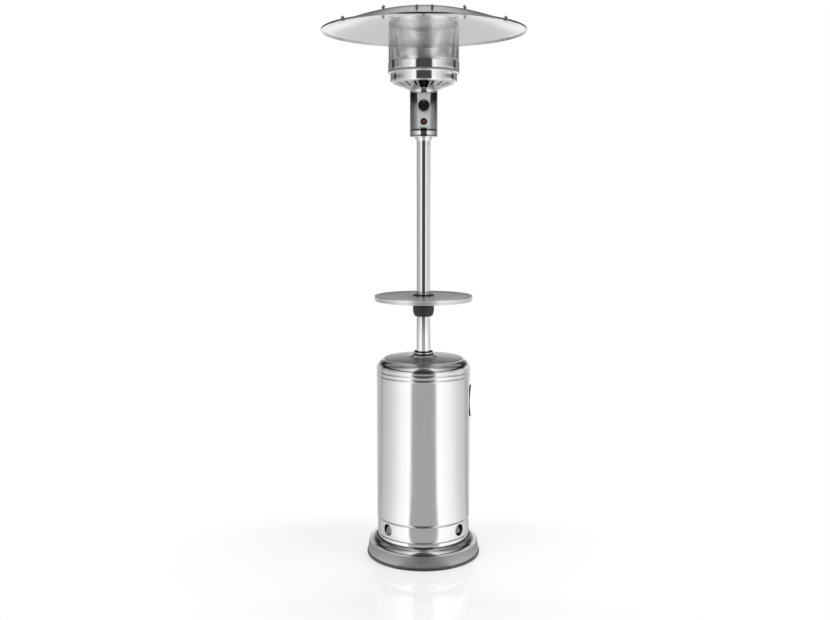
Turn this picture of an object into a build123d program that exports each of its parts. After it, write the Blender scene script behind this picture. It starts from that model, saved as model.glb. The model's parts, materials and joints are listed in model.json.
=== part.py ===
from build123d import *
import math
import os

# Outdoor gas heater: a slotted burner under a wide reflector, on a post above a round gas bottle housing.
# Lengths are in millimetres, angles in degrees. The origin is the middle of the foot on the floor, +Z is up,
# and the controls face -Y. An azimuth is counted from the front, and grows towards +X, the right-hand side.

# Turns
full_turn = 360
half_turn = 180
quarter_turn = 90

# Gaps between pieces
seat_gap = 0.1
part_gap = 0.3
running_gap = 0.06
hole_gap = 0.3
overrun = 6.0

# Foot
base_r = 230.6
base_sheet = 1.5
base_wall_z = 23.0
base_wall_lean = 5.1
base_wall_h = 35.0
base_shoulder_mid_shares = (0.323, 0.519)
base_shoulder_w = 19.5
base_shoulder_h = 26.0
base_top_w = 12.0
base_top_rise = 4.0
bracket_hole_r = 3.0
bracket_hole_spacing = 26.0
bracket_hole_rise = 12.0
edge_ring_w = 4.4
edge_ring_h = 10.0
edge_ring_floor = 3.0
edge_ring_inner_leg = 2.5
edge_ring_groove = 0.8
edge_ring_groove_z = 5.0

# Vent ring under the housing
vent_ring_inset = 2.0
vent_ring_sheet = 1.0
vent_ring_h = 83.0
vent_ring_flange = 10.0
vent_bead = 1.4
vent_bead_h = 4.0
vent_bead_rise = 15.0
vent_top_bead = 2.0
vent_top_bead_h = 6.0
vent_hole_r = 24.5
vent_hole_rise = 44.0
vent_hole_azimuths = (50, 130, 230, 310)

# Housing
housing_inset = 1.5
housing_sheet = 1.4
housing_flange = 9.0
housing_wall_h = 614.0
housing_bead = 1.4
bead_crest_share = 0.17
housing_bead_h = 4.0
housing_bead_drops = (29.0, 12.0)
shoulder_mid_shares = (0.287, 0.697)
shoulder_w = 27.5
shoulder_h = 33.0
shoulder_flange_w = 15.0

# Door: opening from the seam at the right to the hinge at the back
door_edge_azimuth = 67.6
door_angle = 130.0
door_sheet = 1.0
door_side_gap = 1.5
door_end_gap = 0.8
stop_strip = 1.5
stop_strip_lap = 15.0
catch_share = 0.25
hinge_drops = (485.0, 125.0)
hinge_h = 60.0
hinge_leaf = 1.5
hinge_leaf_w = 26.0
hinge_knuckle_r = 4.6
hinge_pin_r = 2.5
hinge_pin_head_r = 3.6
hinge_pin_head = 1.5
knuckle_shares = (0.0, 0.3, 0.7, 1.0)
handle_azimuth = 87.5
handle_drop = 139.0
handle_l = 132.0
handle_w = 60.0
handle_rim = 9.0
handle_proud = 4.0
handle_dip = 2.5
handle_depth = 18.0
handle_wall = 2.0
catch_h = 40.0
catch_w = 12.0
catch_t = 9.0
catch_drop = 285.0

# Lid and grommet
lid_inset = 2.0
lid_sheet = 1.2
lid_rim_h = 4.0
lid_edge_w = 3.0
lid_edge_rise = 6.6
lid_mid_shares = (0.469, 0.716)
lid_cone_w = 22.0
lid_dome_h = 13.4
lid_cone_land = 1.0
lid_cone_h = 17.0
grommet_w = 10.4
grommet_h = 13.0
grommet_groove = 1.6
grommet_lip = 4.5

# Post
post_r = 28.6
post_wall = 1.5
post_l = 917.9
socket_plate_r = 74.0
socket_plate = 4.0
socket_drop = 24.0
socket_tube_wall = 3.8
socket_h = 51.0
socket_hole_r = 14.0
post_screw_r = 2.0
post_screw_head_r = 4.2
post_screw_head = 2.4
post_screw_azimuths = (45, 135, 225, 315)
post_screw_drop = 25.0
post_screw_rise = 28.0

# Legs
leg_w = 30.0
leg_t = 4.0
leg_inset = 20.5
leg_foot_l = 26.0
leg_lean_h = 46.0
leg_top_bend_r = 80.0
leg_top_r = 34.0
leg_bend = 12.0
leg_offset_azimuth = 62.0
leg_bolt_r = 4.0
leg_bolt_head_r = 7.5
leg_bolt_head = 5.3
leg_bolt_inset = 16.0
leg_bolt_top_r = 56.0

# Table and clamp
table_r = 200.0
table_rise = 227.0
table_sheet = 1.2
table_depth = 20.0
table_corner = 3.5
table_roll = 5.0
table_hole_play = 1.5
trim_flange_w = 11.5
trim_h = 4.0
trim_corner = 1.5
trim_sleeve_wall = 2.9
trim_sleeve_h = 12.0
collet_wall = 3.4
collet_flange_w = 12.0
collet_flange_h = 4.0
collet_l = 82.0
collet_slit_w = 2.0
collet_slit_h = 30.0
collet_slits = 4
nut_wall = 12.0
nut_lip_w = 1.5
nut_lip_h = 2.5
nut_drop = 39.0
nut_grip_h = 14.0
nut_waist_w = 6.5
nut_taper_h = 17.0
nut_low_w = 3.0
nut_foot_h = 15.0
nut_flutes = 18
nut_flute_r = 3.2
nut_flute_depth = 2.2

# Control head casing
spigot_wall = 2.4
spigot_l = 48.0
spigot_lap = 11.0
spigot_flare_wall = 1.8
spigot_flare_w = 6.6
box_lift = 4.0
box_base_step = 0.5
box_base_h = 31.0
box_sheet = 1.2
box_base_corner = 3.0
box_vents = 20
box_vent_inset = 6.0
box_vent_w = 5.0
vent_share = 0.5
vent_side_share = 0.25
box_r = 55.0
box_h = 142.0
box_flange = 8.0
panel_w = 51.0
panel_t = 1.5
panel_rise = 4.0
panel_drop = 1.4
collar_step = 0.5
collar_flare_w = 5.5
collar_h = 8.5
box_screw_r = 1.6
box_screw_head_r = 3.2
box_screw_head = 1.8
box_screw_azimuths = (45, 135, 225, 315)
box_screw_rise = 19.0
collar_screw_rise = 5.0

# Gas control
knob_r = 21.5
knob_skirt_r = 23.0
knob_skirt = 3.0
knob_depth = 24.0
knob_standoff = 6.0
knob_drop = 52.0
knob_grip_w = 9.0
knob_tip_r = 24.5
knob_flutes = 14
knob_flute_r = 2.2
knob_edge = 2.0
stem_r = 4.0
stem_in_knob = 14.0
stem_in_valve = 10.0
plunger_r = 8.0
plunger_h = 5.0
plunger_gap = 6.0
valve_w = 34.0
valve_h = 36.0
valve_inset = 16.7314
valve_back_y = 10.0
valve_neck_r = 13.0
valve_edge_r = 3.2
knob_push = 4.0

# Ignition
button_r = 6.5
button_depth = 12.0
button_proud = 6.0
button_dome = 1.0
bezel_r = 13.0
bezel_proud = 3.5
bezel_thread_r = 9.5
bezel_depth = 22.0
bezel_edge = 1.0
igniter_rise = 28.0
igniter_r = 8.5
igniter_l = 21.0
tilt_w = 16.0
tilt_h = 34.0
tilt_y = 24.0
tilt_x = 24.0
tilt_rise = 21.0
tilt_foot = 3.0

# Pipes
supply_r = 4.0
inlet_r = 6.6
inlet_l = 16.0
inlet_hex_r = 9.5
inlet_hex_h = 9.0
inlet_drop = 34.0
pilot_pipe_r = 3.0
pilot_tip_r = 5.0
pilot_tip_h = 16.0
probe_lead_r = 1.6
probe_r = 2.6
probe_h = 34.0
electrode_lead_r = 1.5
electrode_r = 3.4
electrode_h = 38.0
electrode_wire_r = 1.0
electrode_wire_h = 9.0
probe_x = 14.0
electrode_x = 20.5
riser_y = 24.0
pilot_inset = 49.7
riser_turn_rise = 13.8
pilot_turn_rise = 20.0
riser_bend = 8.0
pilot_rise = 24.5

# Burner bowl
bowl_sheet = 1.2
bowl_hole_r = 42.0
bowl_foot_w = 1.0
bowl_foot_rise = 4.7
bowl_turn_w = 3.7
bowl_cone_h = 26.3
bowl_band_r = 132.7
bowl_turn_h = 4.5
bowl_band_h = 33.0
bead_w = 1.4
bowl_step_w = 8.3
bowl_step_h = 3.5
bead_h = 6.0
slots = 24
slot_share = 0.26
slot_in_margin = 8.0
slot_out_margin = 6.0
front_opening_w = 36.0
band_step = 0.7
band_sheet = 1.0
band_floor_w = 13.7
band_h = 36.5
band_screw_azimuths = (45, 135, 225, 315)
band_screw_drop = 13.0

# Burner
bridge_w = 56.0
bridge_t = 2.0
bridge_inset = 7.7
mixing_r = 14.0
mixing_wall = 1.2
mixing_rise = 19.8
mixing_air_holes = 4
mixing_air_r = 4.0
mixing_air_rise = 12.0
burner_inset = 12.0
burner_sheet = 1.2
burner_h = 22.0
burner_ports = 18
port_share = 0.5
burner_port_w = 8.0
burner_port_margin = 20.0
jet_r = 8.0
jet_h = 14.0
jet_tip_r = 3.2
jet_tip_h = 9.0
jet_drop = 2.2
jet_bore_r = 1.0
pilot_bracket_w = 24.0
pilot_bracket_t = 1.5
pilot_bracket_leg = 22.0
pilot_bracket_drop = 43.5

# Emitter screen
screen_inset = 2.7
screen_sheet = 0.8
screen_rise = 8.5
screen_h = 185.0
screen_flats = 36
mesh_rows = 7
mesh_rise = 14.0
mesh_pitch_z = 20.0
mesh_hole_w = 15.0
mesh_hole_h = 15.0
top_plate_sheet = 1.5
top_plate_drop = 4.0
top_plate_rim = 12.0

# Reflector
reflector_r = 406.5
reflector_sheet = 0.9
reflector_hem_h = 5.0
reflector_clear_h = 27.5
reflector_lip = 25.0
reflector_lip_slope = 9.0
reflector_slope = 18.5
reflector_cone_w = 111.5
reflector_hole_r = 12.0
reflector_sectors = 3
seam_gap = 0.8
seam_lap = 14.0
seam_lap_inset = 34.5
seam_lap_start_r = 30.0
seam_layers = 2
centre_disc_r = 34.0
centre_disc_t = 1.2
centre_bolt_r = 4.0
centre_bolt_head_r = 7.0
centre_bolt_head = 4.0
arm_w = 20.0
arm_t = 2.0
arm_root_w = 43.0
arm_slope_in = 9.0
arm_slope_out = 2.0
arm_end = 12.0
arm_rise = 2.0
stud_r = 3.0
stud_reach = 43.0
stud_above = 16.0
stud_below = 7.0
stud_nut_r = 5.8
stud_nut_h = 5.0
stud_under_sheets = 3
nut_sides = 6
seam_bolt_inset = 51.5
seam_bolt_head_r = 5.5
seam_bolt_head = 3.5
seam_bolt_above = 13.0
front_bolt_inset = 117.5
front_bolt_azimuth = 5.6
wing_hub_r = 5.0
wing_hub_h = 7.0
wing_span = 26.0
wing_h = 14.0
wing_t = 2.4
wing_root_share = 0.25

# Derived sizes
base_wall_top_r = base_r - base_wall_lean
base_wall_top_z = base_wall_z + base_wall_h
base_shoulder_r = base_wall_top_r - base_shoulder_w
base_shoulder_z = base_wall_top_z + base_shoulder_h
base_shoulder_mid_r = base_wall_top_r - base_shoulder_w * base_shoulder_mid_shares[0]
base_shoulder_mid_z = base_wall_top_z + base_shoulder_h * base_shoulder_mid_shares[1]
base_top_r = base_shoulder_r - base_top_w
base_top_z = base_shoulder_z + base_top_rise
bracket_hole_z = base_wall_z + bracket_hole_rise
edge_ring_r = base_r + edge_ring_w
housing_r = base_top_r - housing_inset
vent_ring_r = housing_r - vent_ring_inset
shoulder_r = housing_r - shoulder_w
shoulder_flange_r = shoulder_r - shoulder_flange_w
vent_ring_top_z = base_top_z + vent_ring_h
vent_bead_z = base_top_z + vent_bead_rise
vent_hole_z = base_top_z + vent_hole_rise
housing_wall_top_z = vent_ring_top_z + housing_wall_h
shoulder_top_z = housing_wall_top_z + shoulder_h
shoulder_mid_r = housing_r - shoulder_w * shoulder_mid_shares[0]
shoulder_mid_z = housing_wall_top_z + shoulder_h * shoulder_mid_shares[1]
housing_bead_zs = [housing_wall_top_z - drop for drop in housing_bead_drops]
hinge_zs = [housing_wall_top_z - drop for drop in hinge_drops]
handle_z = housing_wall_top_z - handle_drop
catch_z = housing_wall_top_z - catch_drop
lid_r = shoulder_r - lid_inset
lid_edge_r = lid_r - lid_edge_w
lid_edge_z = shoulder_top_z + lid_edge_rise
grommet_r = post_r + grommet_w
lid_cone_top_r = grommet_r + lid_cone_land
lid_cone_foot_r = lid_cone_top_r + lid_cone_w
lid_cone_foot_z = lid_edge_z + lid_dome_h
lid_mid_r = lid_edge_r - (lid_edge_r - lid_cone_foot_r) * lid_mid_shares[0]
lid_mid_z = lid_edge_z + lid_dome_h * lid_mid_shares[1]
lid_top_z = lid_cone_foot_z + lid_cone_h
socket_plate_z = shoulder_top_z - socket_drop
socket_tube_top_z = socket_plate_z + socket_h
post_screw_low_z = socket_plate_z + post_screw_rise
leg_r = housing_r - leg_inset
leg_foot_r = leg_r - leg_foot_l
leg_bolt_foot_r = leg_r - leg_bolt_inset
leg_bend_z = socket_plate_z - leg_lean_h
post_inner_r = post_r - post_wall
post_low_z = socket_plate_z + socket_plate + seat_gap
post_top_z = post_low_z + post_l
post_screw_top_z = post_top_z - post_screw_drop
table_top_z = lid_top_z + table_rise
trim_sleeve_r = post_r + trim_sleeve_wall
trim_r = trim_sleeve_r + trim_flange_w
table_hole_r = trim_sleeve_r + table_hole_play
collet_r = post_r + collet_wall
collet_flange_r = collet_r + collet_flange_w
collet_low_z = table_top_z - collet_l
nut_r = collet_r + nut_wall
nut_lip_r = nut_r + nut_lip_w
nut_waist_r = nut_r - nut_waist_w
nut_low_r = nut_waist_r - nut_low_w
nut_top_z = table_top_z - nut_drop
nut_grip_z = nut_top_z - nut_grip_h
nut_waist_z = nut_grip_z - nut_taper_h
nut_low_z = nut_waist_z - nut_foot_h
spigot_r = post_inner_r - part_gap
spigot_low_z = post_top_z - spigot_l
spigot_flare_low_z = post_top_z - spigot_lap
spigot_flare_low_r = post_r + spigot_flare_wall
spigot_flare_r = spigot_flare_low_r + spigot_flare_w
box_base_z = post_top_z + box_lift
box_base_r = box_r + box_base_step
box_base_top_z = box_base_z + box_base_h
box_vent_in_r = spigot_flare_r + box_vent_inset
box_top_z = box_base_top_z + box_h
panel_y = math.sqrt(box_r ** 2 - (panel_w / 2) ** 2)
panel_low_z = box_base_top_z + panel_rise
panel_top_z = box_top_z - panel_drop
collar_r = box_r + collar_step
collar_flare_r = collar_r + collar_flare_w
collar_flare_z = box_top_z + collar_h
box_screw_low_z = box_base_z + box_screw_rise
box_screw_top_z = box_top_z + collar_screw_rise
knob_z = box_top_z - knob_drop
valve_front_y = panel_y - valve_inset
igniter_z = box_base_top_z + igniter_rise
tilt_z = box_base_z + tilt_rise
inlet_low_z = box_base_z - inlet_drop
bowl_foot_r = collar_flare_r + bowl_foot_w
bowl_foot_z = collar_flare_z + bowl_foot_rise
bowl_cone_r = bowl_band_r - bowl_turn_w
bowl_cone_z = bowl_foot_z + bowl_cone_h
bowl_band_low_z = bowl_cone_z + bowl_turn_h
bowl_band_top_z = bowl_band_low_z + bowl_band_h
bead_root_r = bowl_band_r + bowl_step_w
bead_r = bead_root_r + bead_w
bead_low_z = bowl_band_top_z + bowl_step_h
bead_top_z = bead_low_z + bead_h
slot_in_r = bowl_foot_r + slot_in_margin
slot_out_r = bowl_cone_r - slot_out_margin
band_r = bead_root_r + band_step
band_floor_r = band_r - band_floor_w
band_top_z = bead_top_z + band_h
band_screw_z = band_top_z - band_screw_drop
riser_turn_z = bowl_foot_z + riser_turn_rise
pilot_turn_z = riser_turn_z + pilot_turn_rise
pilot_y = band_r - pilot_inset
burner_r = pilot_y - burner_inset
burner_port_in_r = burner_r - burner_port_margin
pilot_tip_z = bead_top_z + pilot_rise
bridge_r = band_r - bridge_inset
mixing_low_z = bowl_foot_z + mixing_rise
mixing_air_z = mixing_low_z + mixing_air_rise
jet_z = bowl_foot_z - jet_drop
pilot_bracket_z = bead_top_z - pilot_bracket_drop
screen_r = band_r - screen_inset
screen_low_z = bead_top_z + screen_rise
screen_top_z = screen_low_z + screen_h
mesh_low_z = band_top_z + mesh_rise
top_plate_z = screen_top_z - top_plate_drop
arm_z = screen_top_z + arm_rise
arm_in_r = screen_r - arm_root_w
arm_rise_r = screen_r - arm_slope_in
arm_step_r = screen_r + arm_slope_out
stud_circle_r = screen_r + stud_reach
arm_out_r = stud_circle_r + arm_end
reflector_cap_r = reflector_r - reflector_lip - reflector_cone_w
seam_bolt_circle_r = reflector_r - seam_bolt_inset
seam_lap_end_r = reflector_r - seam_lap_inset
front_bolt_r = reflector_r - front_bolt_inset
sector_angle = full_turn / reflector_sectors
seam_azimuths = [sector_angle * (number + 1 / 2) for number in range(reflector_sectors)]
housing_low_z = vent_ring_top_z + seat_gap
housing_inner_r = housing_r - housing_sheet
door_far_azimuth = door_edge_azimuth + door_angle
door_low_z = housing_low_z + door_end_gap
door_top_z = housing_wall_top_z - door_end_gap
hinge_leaf_in_r = housing_r + seat_gap
hinge_axis_r = housing_r + part_gap + hinge_knuckle_r
post_bore_r = post_r + running_gap
table_under_z = table_top_z - table_sheet
leg_foot_z = base_top_z + seat_gap
leg_azimuths = (
    door_edge_azimuth + door_angle / 2 - leg_offset_azimuth,
    door_edge_azimuth + door_angle / 2 + leg_offset_azimuth,
    door_edge_azimuth + door_angle / 2 + half_turn,
)
cap_radius = reflector_cap_r / math.sin(math.radians(reflector_slope))
cap_centre_z = arm_z + reflector_clear_h - math.sqrt(cap_radius ** 2 - stud_circle_r ** 2)
cap_foot_z = cap_centre_z + cap_radius * math.cos(math.radians(reflector_slope))
lip_top_z = cap_foot_z - reflector_cone_w * math.tan(math.radians(reflector_slope))
reflector_rim_z = lip_top_z - reflector_lip * math.tan(math.radians(reflector_lip_slope))
collar_top_z = bowl_foot_z - box_sheet - seat_gap
bridge_z = bead_top_z + seat_gap + band_sheet + seat_gap


# Helpers

def at(azimuth, radius=0, z=0):
    """A place at an azimuth and radius: its own X points outwards, its Y towards a larger azimuth."""
    return Rot(0, 0, azimuth - quarter_turn) * Pos(radius, 0, z)


def degrees_along(length, radius):
    """The angle that an arc of this length covers."""
    return math.degrees(length / radius)


def wall_face(path, thickness):
    """The cut face of a sheet whose outer side is the path: the sheet lies on the path's left."""
    return Plane.XZ * make_face(offset(path, amount=thickness, side=Side.LEFT))


def turned_sheet(path, thickness, start=0, angle=full_turn):
    """A sheet turned round the axis from the azimuth start over the given angle."""
    return revolve(at(start) * wall_face(path, thickness), Axis.Z, angle)


def turned(points, start=0, angle=full_turn):
    """A solid turned from a closed outline of radius and height pairs."""
    face = Plane.XZ * make_face(Polyline(*points, close=True))
    return revolve(at(start) * face, Axis.Z, angle)


def ring(outer_r, inner_r, low_z, top_z, start=0, angle=full_turn):
    """A plain ring, or a sector of one."""
    corners = ((inner_r, low_z), (outer_r, low_z), (outer_r, top_z), (inner_r, top_z))
    return turned(corners, start, angle)


def upright(radius, low_z, top_z, x=0, y=0):
    """An upright cylinder between two heights."""
    return Pos(x, y, low_z) * extrude(Circle(radius), top_z - low_z)


def tube(outer_r, inner_r, low_z, top_z, x=0, y=0):
    """An upright tube between two heights."""
    face = Circle(outer_r) - Circle(inner_r)
    return Pos(x, y, low_z) * extrude(face, top_z - low_z)


def radial_rod(radius, azimuth, z, inner, outer):
    """A cylinder that points outwards, from one radius to another."""
    return at(azimuth, inner, z) * Rot(0, quarter_turn, 0) * extrude(Circle(radius), outer - inner)


def forward_rod(radius, z, back_y, front_y, x=0):
    """A cylinder along the depth. Both depths are counted forwards from the axis, so they are -Y."""
    return Pos(x, -back_y, z) * Rot(quarter_turn, 0, 0) * extrude(Circle(radius), front_y - back_y)


def group(solids):
    """Separate solids that share one node."""
    return Compound(children=list(solids))


def joined(solids):
    """One solid from several that touch."""
    solids = list(solids)
    whole = solids[0]
    for solid in solids[1:]:
        whole = whole + solid
    return whole


def screw(azimuth, z, face_r, inner, shank_r, head_r, head_h):
    """A screw in a round wall: its head sits on the wall's outside."""
    seat_r = face_r + seat_gap
    shank = radial_rod(shank_r, azimuth, z, inner, seat_r + head_h / 2)
    head = radial_rod(head_r, azimuth, z, seat_r, seat_r + head_h)
    return head + shank


def hexagon(across_r, height):
    """A hexagonal nut blank standing on its origin."""
    return extrude(RegularPolygon(across_r, nut_sides), height)


def pressed_ring(radius, bead, z, height):
    """The outline of a ring pressed outwards by bead."""
    crest = height * bead_crest_share
    foot = height / 2
    top = (radius + bead, z + crest)
    return Polyline((radius, z - foot), (radius + bead, z - crest), top, (radius, z + foot))


# Foot

def base_pan():
    """The pressed foot: skirt, rounded shoulder and flat top."""
    low_z = edge_ring_floor + seat_gap
    path = Polyline((base_r, low_z), (base_r, base_wall_z), (base_wall_top_r, base_wall_top_z))
    shoulder_mid = (base_shoulder_mid_r, base_shoulder_mid_z)
    shoulder_end = (base_shoulder_r, base_shoulder_z)
    path += ThreePointArc((base_wall_top_r, base_wall_top_z), shoulder_mid, shoulder_end)
    path += Polyline(shoulder_end, (base_top_r, base_top_z), (0, base_top_z))
    pan = turned_sheet(path, base_sheet)
    for side in (-1, 1):
        x = side * bracket_hole_spacing / 2
        pan -= forward_rod(bracket_hole_r, bracket_hole_z, base_top_r, base_r + overrun, x)
    for azimuth in leg_azimuths:
        hole = upright(leg_bolt_r + hole_gap, base_top_z - overrun, base_top_z + overrun)
        pan -= at(azimuth, leg_bolt_foot_r) * hole
    return pan


def base_edge_ring():
    """The edge ring: a channel that holds the pan's lower edge, with one groove round it."""
    slot_out = base_r + seat_gap
    slot_in = base_r - base_sheet - seat_gap
    inner = slot_in - edge_ring_inner_leg
    groove_low = edge_ring_groove_z - edge_ring_groove / 2
    groove_top = edge_ring_groove_z + edge_ring_groove / 2
    groove_r = edge_ring_r - edge_ring_groove
    outline = (
        (inner, 0),
        (edge_ring_r, 0),
        (edge_ring_r, groove_low),
        (groove_r, edge_ring_groove_z),
        (edge_ring_r, groove_top),
        (edge_ring_r, edge_ring_h - edge_ring_groove),
        (groove_r, edge_ring_h),
        (slot_out, edge_ring_h),
        (slot_out, edge_ring_floor),
        (slot_in, edge_ring_floor),
        (slot_in, edge_ring_h),
        (inner, edge_ring_h),
    )
    return turned(outline)


def vent_ring():
    """The ring under the housing, with its pressed rings and round vents."""
    low_z = base_top_z + seat_gap
    r = vent_ring_r
    flange_r = r - vent_ring_flange
    top_bead_z = vent_ring_top_z - vent_top_bead_h
    path = Polyline((flange_r, low_z), (r, low_z), (r, vent_bead_z - vent_bead_h / 2))
    path += pressed_ring(r, vent_bead, vent_bead_z, vent_bead_h)
    path += Line((r, vent_bead_z + vent_bead_h / 2), (r, top_bead_z - vent_top_bead_h / 2))
    path += pressed_ring(r, vent_top_bead, top_bead_z, vent_top_bead_h)
    path += Polyline((r, top_bead_z + vent_top_bead_h / 2), (r, vent_ring_top_z), (flange_r, vent_ring_top_z))
    wall = turned_sheet(path, vent_ring_sheet)
    for azimuth in vent_hole_azimuths:
        wall -= radial_rod(vent_hole_r, azimuth, vent_hole_z, flange_r, r + overrun)
    return wall


# Housing

def housing_wall(low_z, top_z):
    """The outer side of the housing's upright wall, with its two pressed rings."""
    path = None
    z = low_z
    for bead_z in housing_bead_zs:
        straight = Line((housing_r, z), (housing_r, bead_z - housing_bead_h / 2))
        path = straight if path is None else path + straight
        path += pressed_ring(housing_r, housing_bead, bead_z, housing_bead_h)
        z = bead_z + housing_bead_h / 2
    return path + Line((housing_r, z), (housing_r, top_z))


def housing_shell():
    """The housing: wall, rounded shoulder and the seat of the lid, open at the door."""
    flange_r = housing_r - housing_flange
    path = Line((flange_r, housing_low_z), (housing_r, housing_low_z))
    path += housing_wall(housing_low_z, housing_wall_top_z)
    shoulder_end = (shoulder_r, shoulder_top_z)
    path += ThreePointArc((housing_r, housing_wall_top_z), (shoulder_mid_r, shoulder_mid_z), shoulder_end)
    path += Line(shoulder_end, (shoulder_flange_r, shoulder_top_z))
    shell = turned_sheet(path, housing_sheet)
    lap = degrees_along(stop_strip_lap, housing_r)
    strip_in_r = housing_inner_r - stop_strip
    strip_low_z = housing_low_z + housing_sheet + seat_gap
    strip_start = door_edge_azimuth - lap
    opening_low_z = housing_low_z - overrun
    opening_end_z = housing_wall_top_z
    out_r = housing_r + overrun
    deep_r = flange_r - overrun
    shell -= ring(out_r, deep_r, opening_low_z, opening_end_z, door_edge_azimuth, door_angle)
    strip = ring(housing_inner_r, strip_in_r, strip_low_z, door_top_z, strip_start, 2 * lap)
    tie = ring(housing_r - housing_sheet / 2, strip_in_r, strip_low_z, door_top_z, strip_start, lap / 2)
    return shell + (strip + tie)


def housing_lid():
    """The lid: a low dome that rises to a cone round the post."""
    rim_low_z = shoulder_top_z + seat_gap
    path = Polyline((lid_r, rim_low_z), (lid_r, rim_low_z + lid_rim_h), (lid_edge_r, lid_edge_z))
    path += ThreePointArc((lid_edge_r, lid_edge_z), (lid_mid_r, lid_mid_z), (lid_cone_foot_r, lid_cone_foot_z))
    hole = (post_r + hole_gap, lid_top_z)
    path += Polyline((lid_cone_foot_r, lid_cone_foot_z), (lid_cone_top_r, lid_top_z), hole)
    return turned_sheet(path, lid_sheet)


def post_grommet():
    """The rubber ring on the lid, with a groove between its two lips."""
    low_z = lid_top_z + seat_gap
    top_z = low_z + grommet_h
    waist = grommet_r - grommet_groove
    outline = (
        (post_bore_r, low_z),
        (grommet_r, low_z),
        (grommet_r, low_z + grommet_lip),
        (waist, low_z + grommet_lip + grommet_groove),
        (grommet_r, low_z + grommet_lip + 2 * grommet_groove),
        (grommet_r - grommet_groove, top_z),
        (post_bore_r, top_z),
    )
    return turned(outline)


# Door

def handle_outline(length, width):
    """A slot shape that stands upright when it faces outwards."""
    return Rot(0, 0, quarter_turn) * SlotOverall(length, width)


def handle_block(length, width, inner, outer):
    """The handle's outline as a block between two radii."""
    facing = Rot(0, quarter_turn, 0) * Rot(0, 0, quarter_turn)
    return at(handle_azimuth, inner, handle_z) * facing * extrude(handle_outline(length, width), outer - inner)


def door_panel():
    """The door: the housing's wall between the seam and the hinge, with the handle's hole."""
    side_gap = degrees_along(door_side_gap, housing_r)
    path = housing_wall(door_low_z, door_top_z)
    door = turned_sheet(path, door_sheet, door_edge_azimuth + side_gap, door_angle - 2 * side_gap)
    hole_l = handle_l + 2 * seat_gap
    hole_w = handle_w + 2 * seat_gap
    return door - handle_block(hole_l, hole_w, housing_r - handle_depth, housing_r + overrun)


def door_handle():
    """The recessed pull: a cup whose rim stands proud at both ends and dips in the middle."""
    proud_r = housing_r + handle_proud
    block = handle_block(handle_l, handle_w, housing_r - handle_depth, proud_r)
    inside_l = handle_l - 2 * handle_rim
    inside_w = handle_w - 2 * handle_rim
    back_l = inside_l + 2 * handle_wall
    back_w = inside_w + 2 * handle_wall
    rim_back_r = housing_r - handle_rim
    rim = handle_block(handle_l, handle_w, rim_back_r, proud_r)
    cup = block & handle_block(back_l, back_w, housing_r - handle_depth, proud_r)
    handle = rim + cup
    handle -= handle_block(inside_l, inside_w, housing_r - handle_depth + handle_wall, proud_r + overrun)
    rise = handle_proud + handle_dip
    half = handle_l / 2
    saddle_r = (half ** 2 + rise ** 2) / (2 * rise)
    saddle_axis = at(handle_azimuth, housing_r - handle_dip + saddle_r, handle_z) * Rot(quarter_turn, 0, 0)
    saddle = saddle_axis * extrude(Circle(saddle_r), handle_w, both=True)
    return handle - saddle


def leaf(start, angle, low_z, top_z):
    """A hinge leaf that lies on the housing and stays clear of the other leaf's knuckles."""
    plate = ring(hinge_leaf_in_r + hinge_leaf, hinge_leaf_in_r, low_z, top_z, start, angle)
    return plate - at(door_far_azimuth, hinge_axis_r) * upright(hinge_knuckle_r + part_gap, low_z, top_z)


def knuckle(low_z, top_z, lean):
    """A length of hinge barrel with the web that ties it to its leaf."""
    barrel = upright(hinge_knuckle_r, low_z, top_z)
    web_w = hinge_knuckle_r + 2 * door_side_gap
    web = Pos(-hinge_knuckle_r, 0, low_z) * extrude(
        Pos(hinge_leaf / 2, lean * web_w / 2) * Rectangle(hinge_leaf, web_w), top_z - low_z)
    bore = upright(hinge_pin_r + running_gap, low_z - overrun, top_z + overrun)
    return at(door_far_azimuth, hinge_axis_r) * (barrel + web - bore)


def knuckle_heights(hinge_z):
    """The heights where a hinge's knuckles begin and end."""
    low_z = hinge_z - hinge_h / 2
    return [low_z + share * hinge_h for share in knuckle_shares]


def frame_hinge_leaves():
    """The fixed halves of both hinges: a leaf with the lowest and the highest knuckle."""
    halves = []
    side = degrees_along(door_side_gap, hinge_leaf_in_r)
    width = degrees_along(hinge_leaf_w, hinge_leaf_in_r)
    for hinge_z in hinge_zs:
        low, mid_low, mid_top, top = knuckle_heights(hinge_z)
        plate = leaf(door_far_azimuth + side, width, low, top)
        lower = knuckle(low, mid_low - part_gap, 1)
        upper = knuckle(mid_top + part_gap, top, 1)
        halves.append(joined((plate, lower, upper)))
    return group(halves)


def door_hinge_leaves():
    """The moving halves of both hinges: a leaf with the middle knuckle."""
    halves = []
    side = degrees_along(door_side_gap, hinge_leaf_in_r)
    width = degrees_along(hinge_leaf_w, hinge_leaf_in_r)
    for hinge_z in hinge_zs:
        low, mid_low, mid_top, top = knuckle_heights(hinge_z)
        plate = leaf(door_far_azimuth - side - width, width, low, top)
        halves.append(joined((plate, knuckle(mid_low, mid_top, -1))))
    return group(halves)


def hinge_pins():
    """A headed pin through each hinge."""
    pins = []
    for hinge_z in hinge_zs:
        low, _, _, top = knuckle_heights(hinge_z)
        head_z = top + seat_gap
        shank = upright(hinge_pin_r, low, head_z + hinge_pin_head / 2)
        head = upright(hinge_pin_head_r, head_z, head_z + hinge_pin_head)
        pins.append(at(door_far_azimuth, hinge_axis_r) * (shank + head))
    return group(pins)


def door_catch():
    """The magnet behind the stop strip, where the door's free edge closes."""
    lap = degrees_along(stop_strip_lap, housing_r)
    outer = housing_inner_r - stop_strip - seat_gap
    block = Pos(-catch_t / 2, 0, 0) * Box(catch_t, catch_w, catch_h)
    return at(door_edge_azimuth + lap * catch_share, outer, catch_z) * block


# Legs and post

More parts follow.
